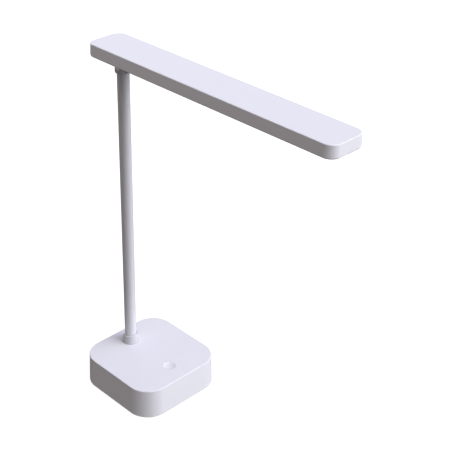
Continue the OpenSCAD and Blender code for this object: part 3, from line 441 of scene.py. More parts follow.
looks = {slot: skin.material for slot, skin in {
    "white_casing": moulded_abs(), "white_coated_metal": powder_coat(),
    "white_coated_tube": coated_tube(), "plate_plastic": matte_abs(),
    "pad_rubber": silicone(), "ballast_steel": oiled_plate(), "zinc_steel": bright_zinc(),
    "nickel": nickel_plate(),
    "black_plastic": moulded_black("ABS black moulded", "1B1B1D", 0.5),
    "cell_wrap": shrink_sleeve(), "board_laminate": solder_mask(),
    "component_resin": moulded_black("epoxy resin black", "232326", 0.42),
    "lead_insulation": insulation(), "acetal": turned_acetal(),
    "opal_panel": opal_acrylic(), "led_board_white": white_mask(),
    "led_phosphor": phosphor()}.items()}
contact_gold = gold_flash().material
diode_white = diode_case().material


# ---- forms, in millimetres ----

AXES = {"X": Matrix(((0, 0, 1, 0), (1, 0, 0, 0), (0, 1, 0, 0), (0, 0, 0, 1))),
        "Y": Matrix(((1, 0, 0, 0), (0, 0, 1, 0), (0, 1, 0, 0), (0, 0, 0, 1))),
        "Z": Matrix.Identity(4)}
PAST = 1                    # how far a cut runs past the face that it opens
ROOT = 0.5                  # how far a form runs into the wall that it grows from
RUN_GAP = 0.05              # round what turns or slides
SEAT_GAP = 0.1              # round what sits in a recess
FREE_GAP = 0.2              # round what only passes through
CREASE = 32                 # an edge that turns by more than these degrees stays crisp
SHARP = 40                  # and one that turns by more than these can be rounded over
PILOT_SIDES = 6             # steps in a quarter of a small hole


def spots(node):
    """Middle in plan of each solid of a node."""
    return [((low.x + high.x) / 2, (low.y + high.y) / 2) for low, high in parts_of(node)]


def arc(across, up, r, start, end, steps=8):
    """Points on an arc, from one angle to another in degrees."""
    turns = [math.radians(start + (end - start) * i / steps) for i in range(steps + 1)]
    return [(across + r * math.cos(t), up + r * math.sin(t)) for t in turns]


def solid(loops, hollow=False, axis="Z", at=(0, 0, 0)):
    """Object with walls from loop to loop of points, drawn upright, laid along an axis and put
    in place. A hollow one goes round its section instead of having caps."""
    shape = bmesh.new()
    loops = [[shape.verts.new(point) for point in loop] for loop in loops]
    count = len(loops[0])
    for low, high in zip(loops, loops[1:] + loops[:1] if hollow else loops[1:]):
        for i in range(count):
            j = (i + 1) % count
            shape.faces.new((low[i], low[j], high[j], high[i]))
    if not hollow:
        shape.faces.new(loops[0][::-1])
        shape.faces.new(loops[-1])
    shape.transform(Matrix.Translation(at) @ AXES[axis])
    bmesh.ops.remove_doubles(shape, verts=shape.verts, dist=WELD)
    bmesh.ops.recalc_face_normals(shape, faces=shape.faces)
    mesh = bpy.data.meshes.new("form")
    shape.to_mesh(mesh)
    shape.free()
    return in_scene("form", mesh)


def lofted(rings, core=(0, 0), steps=20, **about):
    """Solid through rounded rectangles, each at (corner radius, height) round one core. With
    no core they are circles."""
    corners = [(1, 1), (-1, 1), (-1, -1), (1, -1)]
    turns = [(x, y, math.radians(90 * (quarter + i / steps)))
             for quarter, (x, y) in enumerate(corners)
             for i in range(steps + 1 if any(core) else steps)]
    return solid([[(x * core[0] + r * math.cos(t), y * core[1] + r * math.sin(t), z)
                   for x, y, t in turns] for r, z in rings], **about)


def extruded(outline, low, high, **place):
    """Solid with this outline, from one height to another."""
    return solid([[(x, y, z) for x, y in outline] for z in (low, high)], **place)


def block(low, high):
    """Box from corner to corner, for cuts and ribs."""
    return extruded([(low[0], low[1]), (high[0], low[1]), (high[0], high[1]),
                     (low[0], high[1])], low[2], high[2])


def rod(r, low, high, steps=12, **place):
    """Round bar or bore from one height to another."""
    return lofted([(r, low), (r, high)], steps=steps, **place)


def rods(node, r, low, high, steps=12):
    """Posts or bores, one where each solid of a node is."""
    return [rod(r, low, high, steps, at=(x, y, 0)) for x, y in spots(node)]


def settled(form):
    """The form with its modifiers made part of its mesh."""
    graph = bpy.context.evaluated_depsgraph_get()
    mesh = bpy.data.meshes.new_from_object(form.evaluated_get(graph))
    form.modifiers.clear()
    form.data = mesh
    return form


def combined(form, operation, tools):
    """Joins tools to a form, cuts them from it or keeps what they share, one by one."""
    for tool in tools:
        step = form.modifiers.new(operation, "BOOLEAN")
        step.operation = operation
        step.solver = "EXACT"
        step.object = tool
    settled(form)
    for tool in tools:
        bpy.data.objects.remove(tool)


def softened(form, width, steps=2):
    """The form with its sharp edges rounded over."""
    bevel = form.modifiers.new("soft edges", "BEVEL")
    bevel.width = width
    bevel.segments = steps
    bevel.limit_method = "ANGLE"
    bevel.angle_limit = math.radians(SHARP)
    return settled(form)


def piece(form, name, body, slot, *nodes, crease=CREASE, look=None):
    """Makes a form a finished piece: metres, smooth rounds, crisp flats, and its finish."""
    form.data.transform(Matrix.Scale(MM, 4))
    form.name = form.data.name = name
    form.data.shade_smooth()
    form.data.set_sharp_from_angle(angle=math.radians(crease))
    weigh = form.modifiers.new("flats stay flat", "WEIGHTED_NORMAL")
    weigh.keep_sharp = True
    settled(form)
    form.data.materials.clear()
    form.data.materials.append(look or looks[slot])
    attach(form, body)
    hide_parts(*nodes)


# ---- base ----

BASE_CORNER = 24            # in plan, at the foot
BASE_LEAN = 1               # how far each side leans in from foot to top
BASE_WALL = 2.2
BASE_TOP = 2.5              # thickness of the top
BASE_EDGE = 0.6
PLATE_SINK = 3              # the plate stands this far inside the casing
PAD_CORNER = 20
POST_R = 4
BOARD_POST_R = 2.5
BOARD_PILOT_R = 0.95
BOARD_PILOT_DEPTH = 5
BUTTON_R = 6.7
USB_CORNER = 1.2
TONGUE_IN = 0.8             # from the socket's mouth to the tongue's tip
TONGUE_HALF = Vector((3.35, 0.35))
base_low, base_high = span("base_cover")
base_core = (base_high.x - BASE_CORNER, base_high.y - BASE_CORNER)
lean_rate = BASE_LEAN / (base_high.z - base_low.z)
ceiling = base_high.z - BASE_TOP
plate_top = base_low.z + PLATE_SINK
button_low, button_high = span("button_cap")
button_x = (button_low.x + button_high.x) / 2
collar_low, collar_high = span("swivel_turret")
bush_low, bush_high = span("swivel_bush")
usb_low, usb_high = span("usb_socket")
usb_z = (usb_low.z + usb_high.z) / 2
usb_core = ((usb_high.y - usb_low.y) / 2 - USB_CORNER, (usb_high.z - usb_low.z) / 2 - USB_CORNER)
by_button, by_pole = {"at": (button_x, 0, 0)}, {"at": (pole_x, 0, 0)}
by_usb = {"axis": "X", "at": (0, 0, usb_z)}
across_fold = {"axis": "Y", "at": (pole_x, 0, z_fold)}
across_tilt = {"axis": "Y", "at": (pole_x, 0, z_tilt)}


def base_cover():
    foot, top, lip = base_low.z, base_high.z, 0.3
    inside = BASE_CORNER - BASE_WALL
    casing = lofted(
        [(inside - lean_rate * (ceiling - foot), ceiling), (inside, foot)]
        + arc(BASE_CORNER - lip, foot + lip, lip, -90, 0, 4)
        + arc(BASE_CORNER - BASE_LEAN - BASE_EDGE, top - BASE_EDGE, BASE_EDGE, 0, 90, 10),
        base_core)
    # the rib that the stop disc's lug meets at both ends of the pole's turn
    rib_turn, rib_half, rib_end, rib_below = 122.5, 1.6, 14.5, 0.5
    guide_wall, guide_h, boss_wall, boss_h = 1.6, 2, 3, 3
    hole_r, bush_r = BUTTON_R + RUN_GAP, 7.25
    board_top = span("main_board")[1].z
    rib = block((bush_r + boss_wall - ROOT, -rib_half, span("stop_disc")[0].z - rib_below),
                (rib_end, rib_half, ceiling + ROOT))
    rib.data.transform(Matrix.Translation((pole_x, 0, 0))
                       @ Matrix.Rotation(math.radians(rib_turn), 4, "Z"))
    combined(casing, "UNION", [
        *rods("plate_screws", POST_R, plate_top, ceiling + ROOT),
        *rods("board_screws", BOARD_POST_R, board_top, ceiling + ROOT),
        rod(hole_r + guide_wall, ceiling - guide_h, ceiling + ROOT, **by_button),
        rod(bush_r + boss_wall, ceiling - boss_h, ceiling + ROOT, **by_pole), rib])
    pilot_r, pilot_depth, edge, flange_h = 1.4, 10, 0.12, 1
    bore_r, flange_r = bush_r + RUN_GAP, (bush_high.x - bush_low.x) / 2 + FREE_GAP
    flange_low, usb_r = bush_high.z - flange_h, USB_CORNER + FREE_GAP
    combined(casing, "DIFFERENCE", [
        *rods("plate_screws", pilot_r, plate_top - PAST, plate_top + pilot_depth, PILOT_SIDES),
        *rods("board_screws", BOARD_PILOT_R, board_top - PAST, board_top + BOARD_PILOT_DEPTH,
              PILOT_SIDES),
        lofted([(hole_r, ceiling - guide_h - PAST), (hole_r, top - edge), (hole_r + edge, top),
                (hole_r + edge, top + PAST)], steps=24, **by_button),
        lofted([(bore_r, ceiling - boss_h - PAST), (bore_r, flange_low), (flange_r, flange_low),
                (flange_r, top - edge), (flange_r + edge, top), (flange_r + edge, top + PAST)],
               steps=24, **by_pole),
        lofted([(usb_r, base_low.x - PAST), (usb_r, base_low.x + BASE_WALL + 2 * PAST)],
               usb_core, 8, **by_usb)])
    piece(casing, "base_casing", "base", "white_casing", "base_cover")


def base_plate():
    pad_high = span("rubber_pad")[1]
    low, high = span("base_plate")
    r, edge = high.x - base_core[0], 0.2
    plate = lofted([(r - edge, low.z), (r, low.z + edge),
                    (r - lean_rate * (plate_top - low.z), plate_top)], base_core)
    combined(plate, "UNION", rods("charge_screws", BOARD_POST_R, plate_top - ROOT, high.z))
    head_r, shank_r, seat = 2.8, 1.5, pad_high.z + 1.5
    ballast_pilot_r, ballast_floor = 1.25, 1
    combined(plate, "DIFFERENCE", [
        lofted([(PAD_CORNER + SEAT_GAP, low.z - PAST), (PAD_CORNER + SEAT_GAP, pad_high.z)],
               (pad_high.x - PAD_CORNER, pad_high.y - PAD_CORNER)),
        *[lofted([(head_r, low.z), (head_r, seat), (shank_r, seat), (shank_r, high.z)],
                 steps=8, at=(x, y, 0)) for x, y in spots("plate_screws")],
        *rods("ballast_screws", ballast_pilot_r, low.z + ballast_floor, high.z, PILOT_SIDES),
        *rods("charge_screws", BOARD_PILOT_R, high.z - BOARD_PILOT_DEPTH, high.z + PAST,
              PILOT_SIDES)])
    piece(plate, "base_plate_moulding", "base", "plate_plastic", "base_plate")


def rubber_pad():
    low, high = span("rubber_pad")
    edge = 0.5
    pad = lofted(arc(PAD_CORNER - edge, low.z + edge, edge, -90, 0, 5)
                 + [(PAD_CORNER, high.z)], (high.x - PAD_CORNER, high.y - PAD_CORNER))
    piece(pad, "silicone_pad", "base", "pad_rubber", "rubber_pad")


def usb_socket():
    skin, depth, roll, tongue_edge = 0.3, 6.35, 0.12, 0.12
    mouth = usb_low.x
    shell = lofted([(USB_CORNER - skin, mouth + depth), (USB_CORNER - skin, mouth + roll)]
                   + arc(USB_CORNER - skin / 2, mouth + skin / 2, skin / 2, -180, 0, 6)[1:-1]
                   + [(USB_CORNER, mouth + roll), (USB_CORNER, usb_high.x)],
                   usb_core, 8, **by_usb)
    piece(shell, "usb_shell", "base", "nickel", "usb_socket")
    tongue = block((mouth + TONGUE_IN, -TONGUE_HALF.x, usb_z - TONGUE_HALF.y),
                   (mouth + depth + ROOT, TONGUE_HALF.x, usb_z + TONGUE_HALF.y))
    piece(softened(tongue, tongue_edge), "usb_tongue", "base", "component_resin", "usb_socket")


def button_cap():
    dish_r, dish_depth, edge = 6.5, 0.9, 0.12
    boss_r, hollow_r, roof, flange_h = 1.75, 5.5, 1.4, 1
    ball = (dish_r ** 2 + dish_depth ** 2) / (2 * dish_depth)
    reach = math.degrees(math.asin(dish_r / ball))
    low, top = button_low.z, button_high.z
    flange_r = (button_high.x - button_low.x) / 2
    under = top - dish_depth - roof
    cap = lofted(
        [(0, low), (boss_r, low), (boss_r, under), (hollow_r, under), (hollow_r, low),
         (flange_r - edge, low), (flange_r, low + edge), (flange_r, low + flange_h - edge),
         (flange_r - edge, low + flange_h), (BUTTON_R, low + flange_h)]
        + arc(BUTTON_R - edge, top - edge, edge, 0, 90, 8)
        + arc(0, top + ball - dish_depth, ball, reach - 90, -90, 16),
        steps=24, **by_button)
    piece(cap, "button", "button", "white_casing", "button_cap", crease=14)


def switch_plunger():
    low, high = span("switch_plunger")
    r, edge = (high.x - low.x) / 2, 0.2
    stem = lofted([(r, low.z)] + arc(r - edge, high.z - edge, edge, 0, 90, 4), steps=8,
                  **by_button)
    piece(stem, "plunger", "button", "component_resin", "switch_plunger")


# ---- turning collar ----

CAVITY_R = 6.2              # room for the pole's foot inside the collar
STEM_BORE_R = 3
COLLAR_TOP_R = 7.65
FOLD_BORE_R = 1.3           # in what turns on the folding pin


def swivel_turret():
    top, sink, low_r = collar_high.z, bush_high.z + RUN_GAP, (collar_high.x - collar_low.x) / 2
    stem_r, stem_edge, flat_half, edge = 6, 0.4, 5.3, 0.3
    # the pin goes in from the +Y side and ends in the far wall; its washers sit on flats
    washer_r, pin_bore_r, pin_end = 2.95, 1.26, -7.1
    collar = lofted(
        [(stem_r - stem_edge, collar_low.z), (stem_r, collar_low.z + stem_edge), (stem_r, sink),
         (low_r, sink), (low_r, base_high.z)]
        + arc(COLLAR_TOP_R - edge, top - edge, edge, 0, 90, 6), steps=32, **by_pole)
    cuts = [rod(CAVITY_R, base_high.z, top + PAST, 24, **by_pole),
            block((pole_x - low_r - PAST, -CAVITY_R, base_high.z),
                  (pole_x, CAVITY_R, top + PAST)),
            rod(washer_r, -CAVITY_R, CAVITY_R, 16, **across_fold),
            rod(STEM_BORE_R, collar_low.z - PAST, base_high.z + PAST, **by_pole),
            rod(pin_bore_r, pin_end, low_r + PAST, 8, **across_fold)]
    cuts += [block((pole_x - stem_r - PAST, low, collar_low.z - PAST),
                   (pole_x + stem_r + PAST, high, span("spring_washer")[0].z))
             for low, high in ((-stem_r - PAST, -flat_half), (flat_half, stem_r + PAST))]
    combined(collar, "DIFFERENCE", cuts)
    piece(collar, "collar", "turret", "white_coated_metal", "swivel_turret")


def plain_pin(name, node, body, axis, edge):
    """Steel pin with broken edges, along X or Y, for a node that is one straight rod."""
    low, high = span(node)
    along, r, at = "XY".index(axis), (high.z - low.z) / 2, (low + high) / 2
    at[along] = 0
    pin = lofted([(r - edge, low[along]), (r, low[along] + edge), (r, high[along] - edge),
                  (r - edge, high[along])], steps=8, axis=axis, at=at)
    piece(pin, name, body, "zinc_steel", node)


# ---- pole ----

POLE_R = 6
TUBE_BORE_R = 5
PLUG_R = 4.95
PLUG_EDGE = 0.4
DOWEL_R = 1
LEAD_PASS = (2.9, 1.25)     # how far in front of the pole's axis, and its radius
KNUCKLE_R = 7.75
KNUCKLE_EDGE = 0.9
TONGUE_R = 4.2
TONGUE_BORE_R = 1.55        # in what turns on the tilting screw
TILT_BORE_R = 1.51          # in what holds the tilting screw still
TILT_GAP = 0.3
POCKET_Y = 5.3              # where the pockets for the screw's head and its nut begin
NUT_AF = 5.5                # across the nut's flats
HEAD_R = 2.6
tube_low, tube_high = span("pole_tube")
nut_corner = NUT_AF / 2 / math.cos(math.radians(30))


def hexagon(corner, low, high, **place):
    """Six-sided bar, with one corner along +X before it is laid along its axis."""
    return extruded(arc(0, 0, corner, 0, 300, 5), low, high, **place)


def dowel_hole(node):
    """Bore in the pole's rear for the dowel at one of its ends."""
    low, high = span(node)
    return rod(DOWEL_R, -2 * POLE_R, 0, 8, axis="X", at=(pole_x, 0, (low.z + high.z) / 2))


def lead_pass(low, high):
    return rod(LEAD_PASS[1], low, high, PILOT_SIDES, at=(pole_x + LEAD_PASS[0], 0, 0))


def pole_foot():
    low, high = span("pole_foot")
    foot = lofted(arc(0, z_fold, POLE_R, -90, 0, 24)
                  + [(POLE_R, tube_low.z), (PLUG_R, tube_low.z), (PLUG_R, high.z - PLUG_EDGE),
                     (PLUG_R - PLUG_EDGE, high.z)], steps=24, **by_pole)
    far = 2 * POLE_R
    cuts = [block((pole_x - far, a, low.z - PAST), (pole_x + far, b, tube_low.z))
            for a, b in ((-far, low.y), (high.y, far))]
    cuts += [rod(FOLD_BORE_R, -far, far, 8, **across_fold),
             lead_pass(low.z - PAST, high.z + PAST), dowel_hole("foot_dowel")]
    combined(foot, "DIFFERENCE", cuts)
    piece(foot, "foot_block", "pole", "white_coated_metal", "pole_foot")


def pole_tube():
    edge = 0.15
    tube = lofted([(TUBE_BORE_R, tube_low.z), (TUBE_BORE_R, tube_high.z),
                   (POLE_R - edge, tube_high.z), (POLE_R, tube_high.z - edge),
                   (POLE_R, tube_low.z + edge), (POLE_R - edge, tube_low.z)],
                  steps=24, hollow=True, **by_pole)
    combined(tube, "DIFFERENCE", [dowel_hole("foot_dowel"), dowel_hole("cap_dowel")])
    piece(tube, "tube", "pole", "white_coated_tube", "pole_tube")


def knuckle():
    foot, high = span("pole_cap")
    top_r, low = high.z - z_tilt, tube_high.z
    body = lofted(
        [(0, foot.z), (PLUG_R - PLUG_EDGE, foot.z), (PLUG_R, foot.z + PLUG_EDGE), (PLUG_R, low)]
        + arc(KNUCKLE_R - KNUCKLE_EDGE, low + KNUCKLE_EDGE, KNUCKLE_EDGE, -90, 0, 8)
        + [(KNUCKLE_R, z_tilt + 2 * top_r)], steps=32, **by_pole)
    round_top = extruded([(top_r, foot.z - PAST), *arc(0, z_tilt, top_r, 0, 180, 48),
                          (-top_r, foot.z - PAST)], -2 * top_r, 2 * top_r, axis="Y", **by_pole)
    combined(body, "INTERSECT", [round_top])
    # the tongue's slot is open upwards and forwards, and at the back as far as this angle
    # under the horizontal
    back, slot_half = 32, 3.1
    slot_r, far, lean = TONGUE_R + TILT_GAP, 4 * KNUCKLE_R, math.radians(back)
    slot = (arc(0, 0, slot_r, 180 + back, 270, 10) + [(far, -slot_r), (far, far)]
            + [(-slot_r * math.cos(lean) - far * math.sin(lean),
                -slot_r * math.sin(lean) + far * math.cos(lean))])
    combined(body, "DIFFERENCE", [
        extruded(slot, -slot_half, slot_half, **across_tilt),
        rod(TILT_BORE_R, -2 * POCKET_Y, 2 * POCKET_Y, 8, **across_tilt),
        rod(HEAD_R + SEAT_GAP, POCKET_Y, 3 * POCKET_Y, 16, **across_tilt),
        hexagon(nut_corner + SEAT_GAP, -3 * POCKET_Y, -POCKET_Y, **across_tilt),
        lead_pass(foot.z - PAST, z_tilt), dowel_hole("cap_dowel")])
    piece(body, "knuckle", "pole", "white_coated_metal", "pole_cap")


def tilt_screw():
    low, high = span("tilt_pin")
    r, tip_edge, head_edge, socket_depth = 1.5, 0.3, 0.35, 0.8
    screw = lofted([(r - tip_edge, low.y), (r, low.y + tip_edge), (r, POCKET_Y),
                    (HEAD_R, POCKET_Y)]
                   + arc(HEAD_R - head_edge, high.y - head_edge, head_edge, 0, 90, 6),
                   steps=16, **across_tilt)
    combined(screw, "DIFFERENCE", [
        hexagon(HEAD_R / 2, high.y - socket_depth, high.y + PAST, **across_tilt)])
    piece(screw, "tilt_screw", "pole", "zinc_steel", "tilt_pin")


def tilt_nut():
    low, high = span("tilt_nut")
    nut = hexagon(nut_corner, low.y, high.y, **across_tilt)
    edge = (nut_corner - NUT_AF / 2) / 2
    barrel = lofted([(NUT_AF / 2, low.y), (nut_corner, low.y + edge),
                     (nut_corner, high.y - edge), (NUT_AF / 2, high.y)], steps=16, **across_tilt)
    combined(nut, "INTERSECT", [barrel])
    combined(nut, "DIFFERENCE", [
        rod(TILT_BORE_R, low.y - PAST, high.y + PAST, 8, **across_tilt)])
    piece(nut, "tilt_nut_plated", "pole", "zinc_steel", "tilt_nut")


def washer_pair(name, node, body, bore_r, about):
    """Two flat washers across the pole's axis."""
    both = []
    for low, high in parts_of(node):
        r, edge = (high.z - low.z) / 2, 0.08
        both.append(lofted([(bore_r, low.y), (bore_r, high.y), (r - edge, high.y),
                            (r, high.y - edge), (r, low.y + edge), (r - edge, low.y)],
                           steps=16, hollow=True, **about))
    combined(both[0], "UNION", both[1:])
    piece(both[0], name, body, "zinc_steel", node)


# ---- light bar ----

BAR_CORNER = 10             # in plan, at the foot
BAR_LEAN = 0.4              # how far each side leans in from foot to top
BAR_FOOT = 1.5              # round of the lower edge
BAR_EDGE = 0.6
BAR_TOP = 1.8               # thickness of the top
BAR_RIM = 2
BAR_LEDGE = 1.2             # that the two panels lie against
PANEL_EDGE = 0.25
CLEAR_R = 1.15              # holes that the bar's screws pass through
head_low, head_high = span("head_shell")
panel_low, panel_high = span("light_panel")
cover_low, cover_high = span("hinge_cover")
bracket_low, bracket_high = span("head_bracket")
board_high = span("led_board")[1]
bar_middle = (head_low.x + head_high.x) / 2
bar_core = (head_high.x - bar_middle - BAR_CORNER, head_high.y - BAR_CORNER)
bar_roof = head_high.z - BAR_TOP


def head_shell():
    rim_r, ledge_r, lip = BAR_CORNER - BAR_RIM, BAR_CORNER - BAR_RIM - BAR_LEDGE, 0.15
    shell = lofted(
        [(ledge_r, bar_roof), (ledge_r, panel_high.z), (rim_r, panel_high.z),
         (rim_r, head_low.z + lip), (rim_r + lip, head_low.z)]
        + arc(BAR_CORNER - BAR_FOOT, head_low.z + BAR_FOOT, BAR_FOOT, -90, 0, 8)
        + arc(BAR_CORNER - BAR_LEAN - BAR_EDGE, head_high.z - BAR_EDGE, BAR_EDGE, 0, 90, 10),
        bar_core, 16, at=(bar_middle, 0, 0))
    # for each node's screws: where their posts end, the posts' radius, and the pilot holes'
    # radius and depth
    posts = (("bracket_screws", bracket_high.z, 3, 1.05, 3),
             ("cover_screws", panel_high.z, 2.5, 1.05, 5.5),
             ("led_board_screws", board_high.z, 2.5, 0.95, 2.3))
    combined(shell, "UNION", [post for node, end, r, _, _ in posts
                              for post in rods(node, r, end, bar_roof + ROOT)])
    combined(shell, "DIFFERENCE", [hole for node, end, _, r, depth in posts
                                   for hole in rods(node, r, end - PAST, end + depth,
                                                    PILOT_SIDES)])
    piece(shell, "bar_shell", "head", "white_casing", "head_shell")


def panel_form(low, high, tip):
    """Panel with soft edges and round corners at one end only; tip is 1 for the front end."""
    r, half = BAR_CORNER - BAR_RIM - SEAT_GAP, high.y
    flat, far = (low.x, high.x) if tip > 0 else (high.x, low.x)
    rounds = arc(0, r - half, r, -90, 0, 16) + arc(0, half - r, r, 0, 90, 16)
    plan = [(flat, -half), *[(far + tip * (x - r), y) for x, y in rounds], (flat, half)]
    return softened(extruded(plan, low.z, high.z), PANEL_EDGE)


def light_panel():
    piece(panel_form(panel_low, panel_high, 1), "opal_panel", "head", "opal_panel",
          "light_panel")


def hinge_cover():
    cover = panel_form(cover_low, cover_high, -1)
    slot_x, slot_y = TONGUE_R + TILT_GAP, 2.8
    under_head, head_r, edge = 0.7, 2.1, 0.15
    seat = cover_high.z - under_head
    combined(cover, "DIFFERENCE", [
        block((pole_x - slot_x, -slot_y, cover_low.z - PAST),
              (pole_x + slot_x, slot_y, cover_high.z + PAST)),
        *[lofted([(head_r + edge, cover_low.z - PAST), (head_r + edge, cover_low.z),
                  (head_r, cover_low.z + edge), (head_r, seat), (CLEAR_R, seat),
                  (CLEAR_R, cover_high.z + PAST)], steps=16, at=(x, y, 0))
          for x, y in spots("cover_screws")]])
    piece(cover, "hinge_panel", "head", "white_casing", "hinge_cover")


def head_bracket():
    plate_t, plate_edge, half = 2, 0.3, 2.5
    plate_low = bracket_high.z - plate_t
    plate = softened(block((bracket_low.x, bracket_low.y, plate_low), tuple(bracket_high)),
                     plate_edge)
    tongue = extruded(arc(0, z_tilt, TONGUE_R, 180, 360, 32)
                      + [(TONGUE_R, plate_low + ROOT), (-TONGUE_R, plate_low + ROOT)],
                      -half, half, axis="Y", **by_pole)
    combined(plate, "UNION", [tongue])
    combined(plate, "DIFFERENCE", [
        *rods("bracket_screws", CLEAR_R, plate_low - PAST, bracket_high.z + PAST, 8),
        rod(TONGUE_BORE_R, -2 * half, 2 * half, 8, **across_tilt)])
    piece(plate, "bracket", "head", "white_coated_metal", "head_bracket")


for make in (base_cover, base_plate, rubber_pad, usb_socket, button_cap, switch_plunger,
             swivel_turret, pole_foot, pole_tube, knuckle, tilt_screw, tilt_nut, head_shell,
             light_panel, hinge_cover, head_bracket):
    make()
plain_pin("fold_pin_plated", "fold_pin", "turret", "Y", 0.25)
plain_pin("foot_dowel_plated", "foot_dowel", "pole", "X", 0.2)
plain_pin("cap_dowel_plated", "cap_dowel", "pole", "X", 0.2)
washer_pair("fold_washers_plated", "fold_washers", "turret", FOLD_BORE_R, across_fold)
washer_pair("tilt_washers_plated", "tilt_washers", "pole", TONGUE_BORE_R, across_tilt)


# ---- what repeats: screws, diodes and contacts ----

CREST_SHARE = 0.7           # of the thread's depth that its round section is wide
THREAD_SHARE = 0.14         # of a shank's diameter that its thread is deep
THREAD_IN = 0.01            # keeps the crests inside the frame's shank
HEAD_SHARE = 0.45           # of a head's height that its round edge takes,
HEAD_ROUND = 0.5            # and the most that it takes


def tree_with(name, sizes):
    """Geometry Nodes tree with a named input for each size, and its inputs."""
    tree = bpy.data.node_groups.new(name, "GeometryNodeTree")
    for size, kind in {"Geometry": "Geometry", **sizes}.items():
        tree.interface.new_socket(size, in_out="INPUT", socket_type="NodeSocket" + kind)
    tree.interface.new_socket("Geometry", in_out="OUTPUT", socket_type="NodeSocketGeometry")
    return tree, add(tree, "NodeGroupInput").outputs


def set_out(tree, given, shape):
    """Ends a tree: a shape on each of its points, made one mesh with its finish."""
    placed = add(tree, "GeometryNodeInstanceOnPoints", {"Points": given["Geometry"], **shape})
    real = add(tree, "GeometryNodeRealizeInstances", {0: placed.outputs[0]})
    painted = add(tree, "GeometryNodeSetMaterial", {"Geometry": real.outputs[0],
                                                   "Material": given["Finish"]})
    add(tree, "NodeGroupOutput", {"Geometry": painted.outputs[0]})
    return tree


def grown(tree, points, sizes):
    """Runs a tree on points with its sizes, in metres; gives a plain mesh in millimetres."""
    mesh = bpy.data.meshes.new("points")
    mesh.from_pydata([Vector(p) * MM for p in points], [], [])
    made = in_scene("points", mesh)
    step = made.modifiers.new("grow", "NODES")
    step.node_group = tree
    for socket in tree.interface.items_tree:
        if socket.in_out == "INPUT" and socket.name in sizes:
            step[socket.identifier] = sizes[socket.name]
    settled(made)
    made.data.transform(Matrix.Scale(1 / MM, 4))
    return made


def screw_tree():
    """Pan-head screws: a shank with a running thread under a head, each turned by chance."""
    tree, given = tree_with("threaded screws", {
        "Head": "Object", "Shank radius": "Float", "Shank length": "Float",
        "Thread pitch": "Float", "Thread depth": "Float", "Tip down": "Float",
        "Seed": "Int", "Finish": "Material"})
    sizes = dict(given.items())
    for name, first, operation, second in (
            ("core", "Shank radius", "SUBTRACT", "Thread depth"),
            ("middle", "Shank length", "DIVIDE", 2),
            ("turns", "Shank length", "DIVIDE", "Thread pitch"),
            ("crest", "Thread depth", "MULTIPLY", CREST_SHARE),
            ("path", "Shank radius", "SUBTRACT", "crest"),
            ("height", "Shank length", "SUBTRACT", "Thread pitch"),
            ("half pitch", "Thread pitch", "DIVIDE", 2)):
        sizes[name] = add(tree, "ShaderNodeMath", {
            0: sizes[first], 1: sizes.get(second, second)}, operation=operation).outputs[0]
    head = add(tree, "GeometryNodeObjectInfo", {"Object": given["Head"]})
    shank = add(tree, "GeometryNodeMeshCylinder", {
        "Vertices": 20, "Radius": sizes["core"], "Depth": given["Shank length"]})
    path = add(tree, "GeometryNodeCurveSpiral", {
        "Resolution": 14, "Rotations": sizes["turns"], "Start Radius": sizes["path"],
        "End Radius": sizes["path"], "Height": sizes["height"]})
    section = add(tree, "GeometryNodeCurvePrimitiveCircle", {"Resolution": 3,
                                                            "Radius": sizes["crest"]})
    thread = add(tree, "GeometryNodeCurveToMesh", {
        "Curve": path.outputs["Curve"], "Profile Curve": section.outputs["Curve"],
        "Fill Caps": True})
    # the thread's first turn starts half a pitch above the head's seat
    raised = []
    for form, lift in ((thread, "half pitch"), (shank, "middle")):
        up = add(tree, "ShaderNodeCombineXYZ", {"Z": sizes[lift]})
        raised.append(add(tree, "GeometryNodeTransform", {
            "Geometry": form.outputs["Mesh"], "Translation": up.outputs[0]}))
    whole = add(tree, "GeometryNodeJoinGeometry")
    for part in (*raised, head):
        tree.links.new(part.outputs["Geometry"], whole.inputs["Geometry"])
    turn = add(tree, "FunctionNodeRandomValue", {
        "Min": 0.0, "Max": 2 * math.pi, "Seed": given["Seed"]})
    rotation = add(tree, "ShaderNodeCombineXYZ", {"X": given["Tip down"], "Z": turn.outputs[1]})
    return set_out(tree, given, {"Instance": whole.outputs[0], "Rotation": rotation.outputs[0]})


def pan_head(r, h):
    """Head with a rounded top edge and a hex socket, its seat at height 0."""
    edge = min(HEAD_SHARE * h, HEAD_ROUND)
    head = lofted([(r, 0)] + [(x, -z) for x, z in arc(r - edge, h - edge, edge, 0, 90, 5)],
                  steps=8)
    combined(head, "DIFFERENCE", [hexagon(r / 2, -h - PAST, -h / 2)])
    head.data.transform(Matrix.Scale(MM, 4))
    head.data.shade_smooth()
    head.data.set_sharp_from_angle(angle=math.radians(CREASE))
    return head


def screws(name, node, body, shank_d, head_h, pitch, seed, down=False):
    """The screws of one node: places, lengths and head widths come from the frame."""
    found = parts_of(node)
    low, high = found[0]
    head = pan_head((high.x - low.x) / 2, head_h)
    seats = [((a.x + b.x) / 2, (a.y + b.y) / 2, b.z - head_h if down else a.z + head_h)
             for a, b in found]
    made = grown(screw_tree(), seats, {
        "Head": head, "Shank radius": (shank_d / 2 - THREAD_IN) * MM,
        "Shank length": (high.z - low.z - head_h) * MM, "Thread pitch": pitch * MM,
        "Thread depth": THREAD_SHARE * shank_d * MM, "Tip down": math.pi if down else 0.0,
        "Seed": seed, "Finish": looks["zinc_steel"]})
    bpy.data.objects.remove(head)
    piece(made, name, body, "zinc_steel", node)


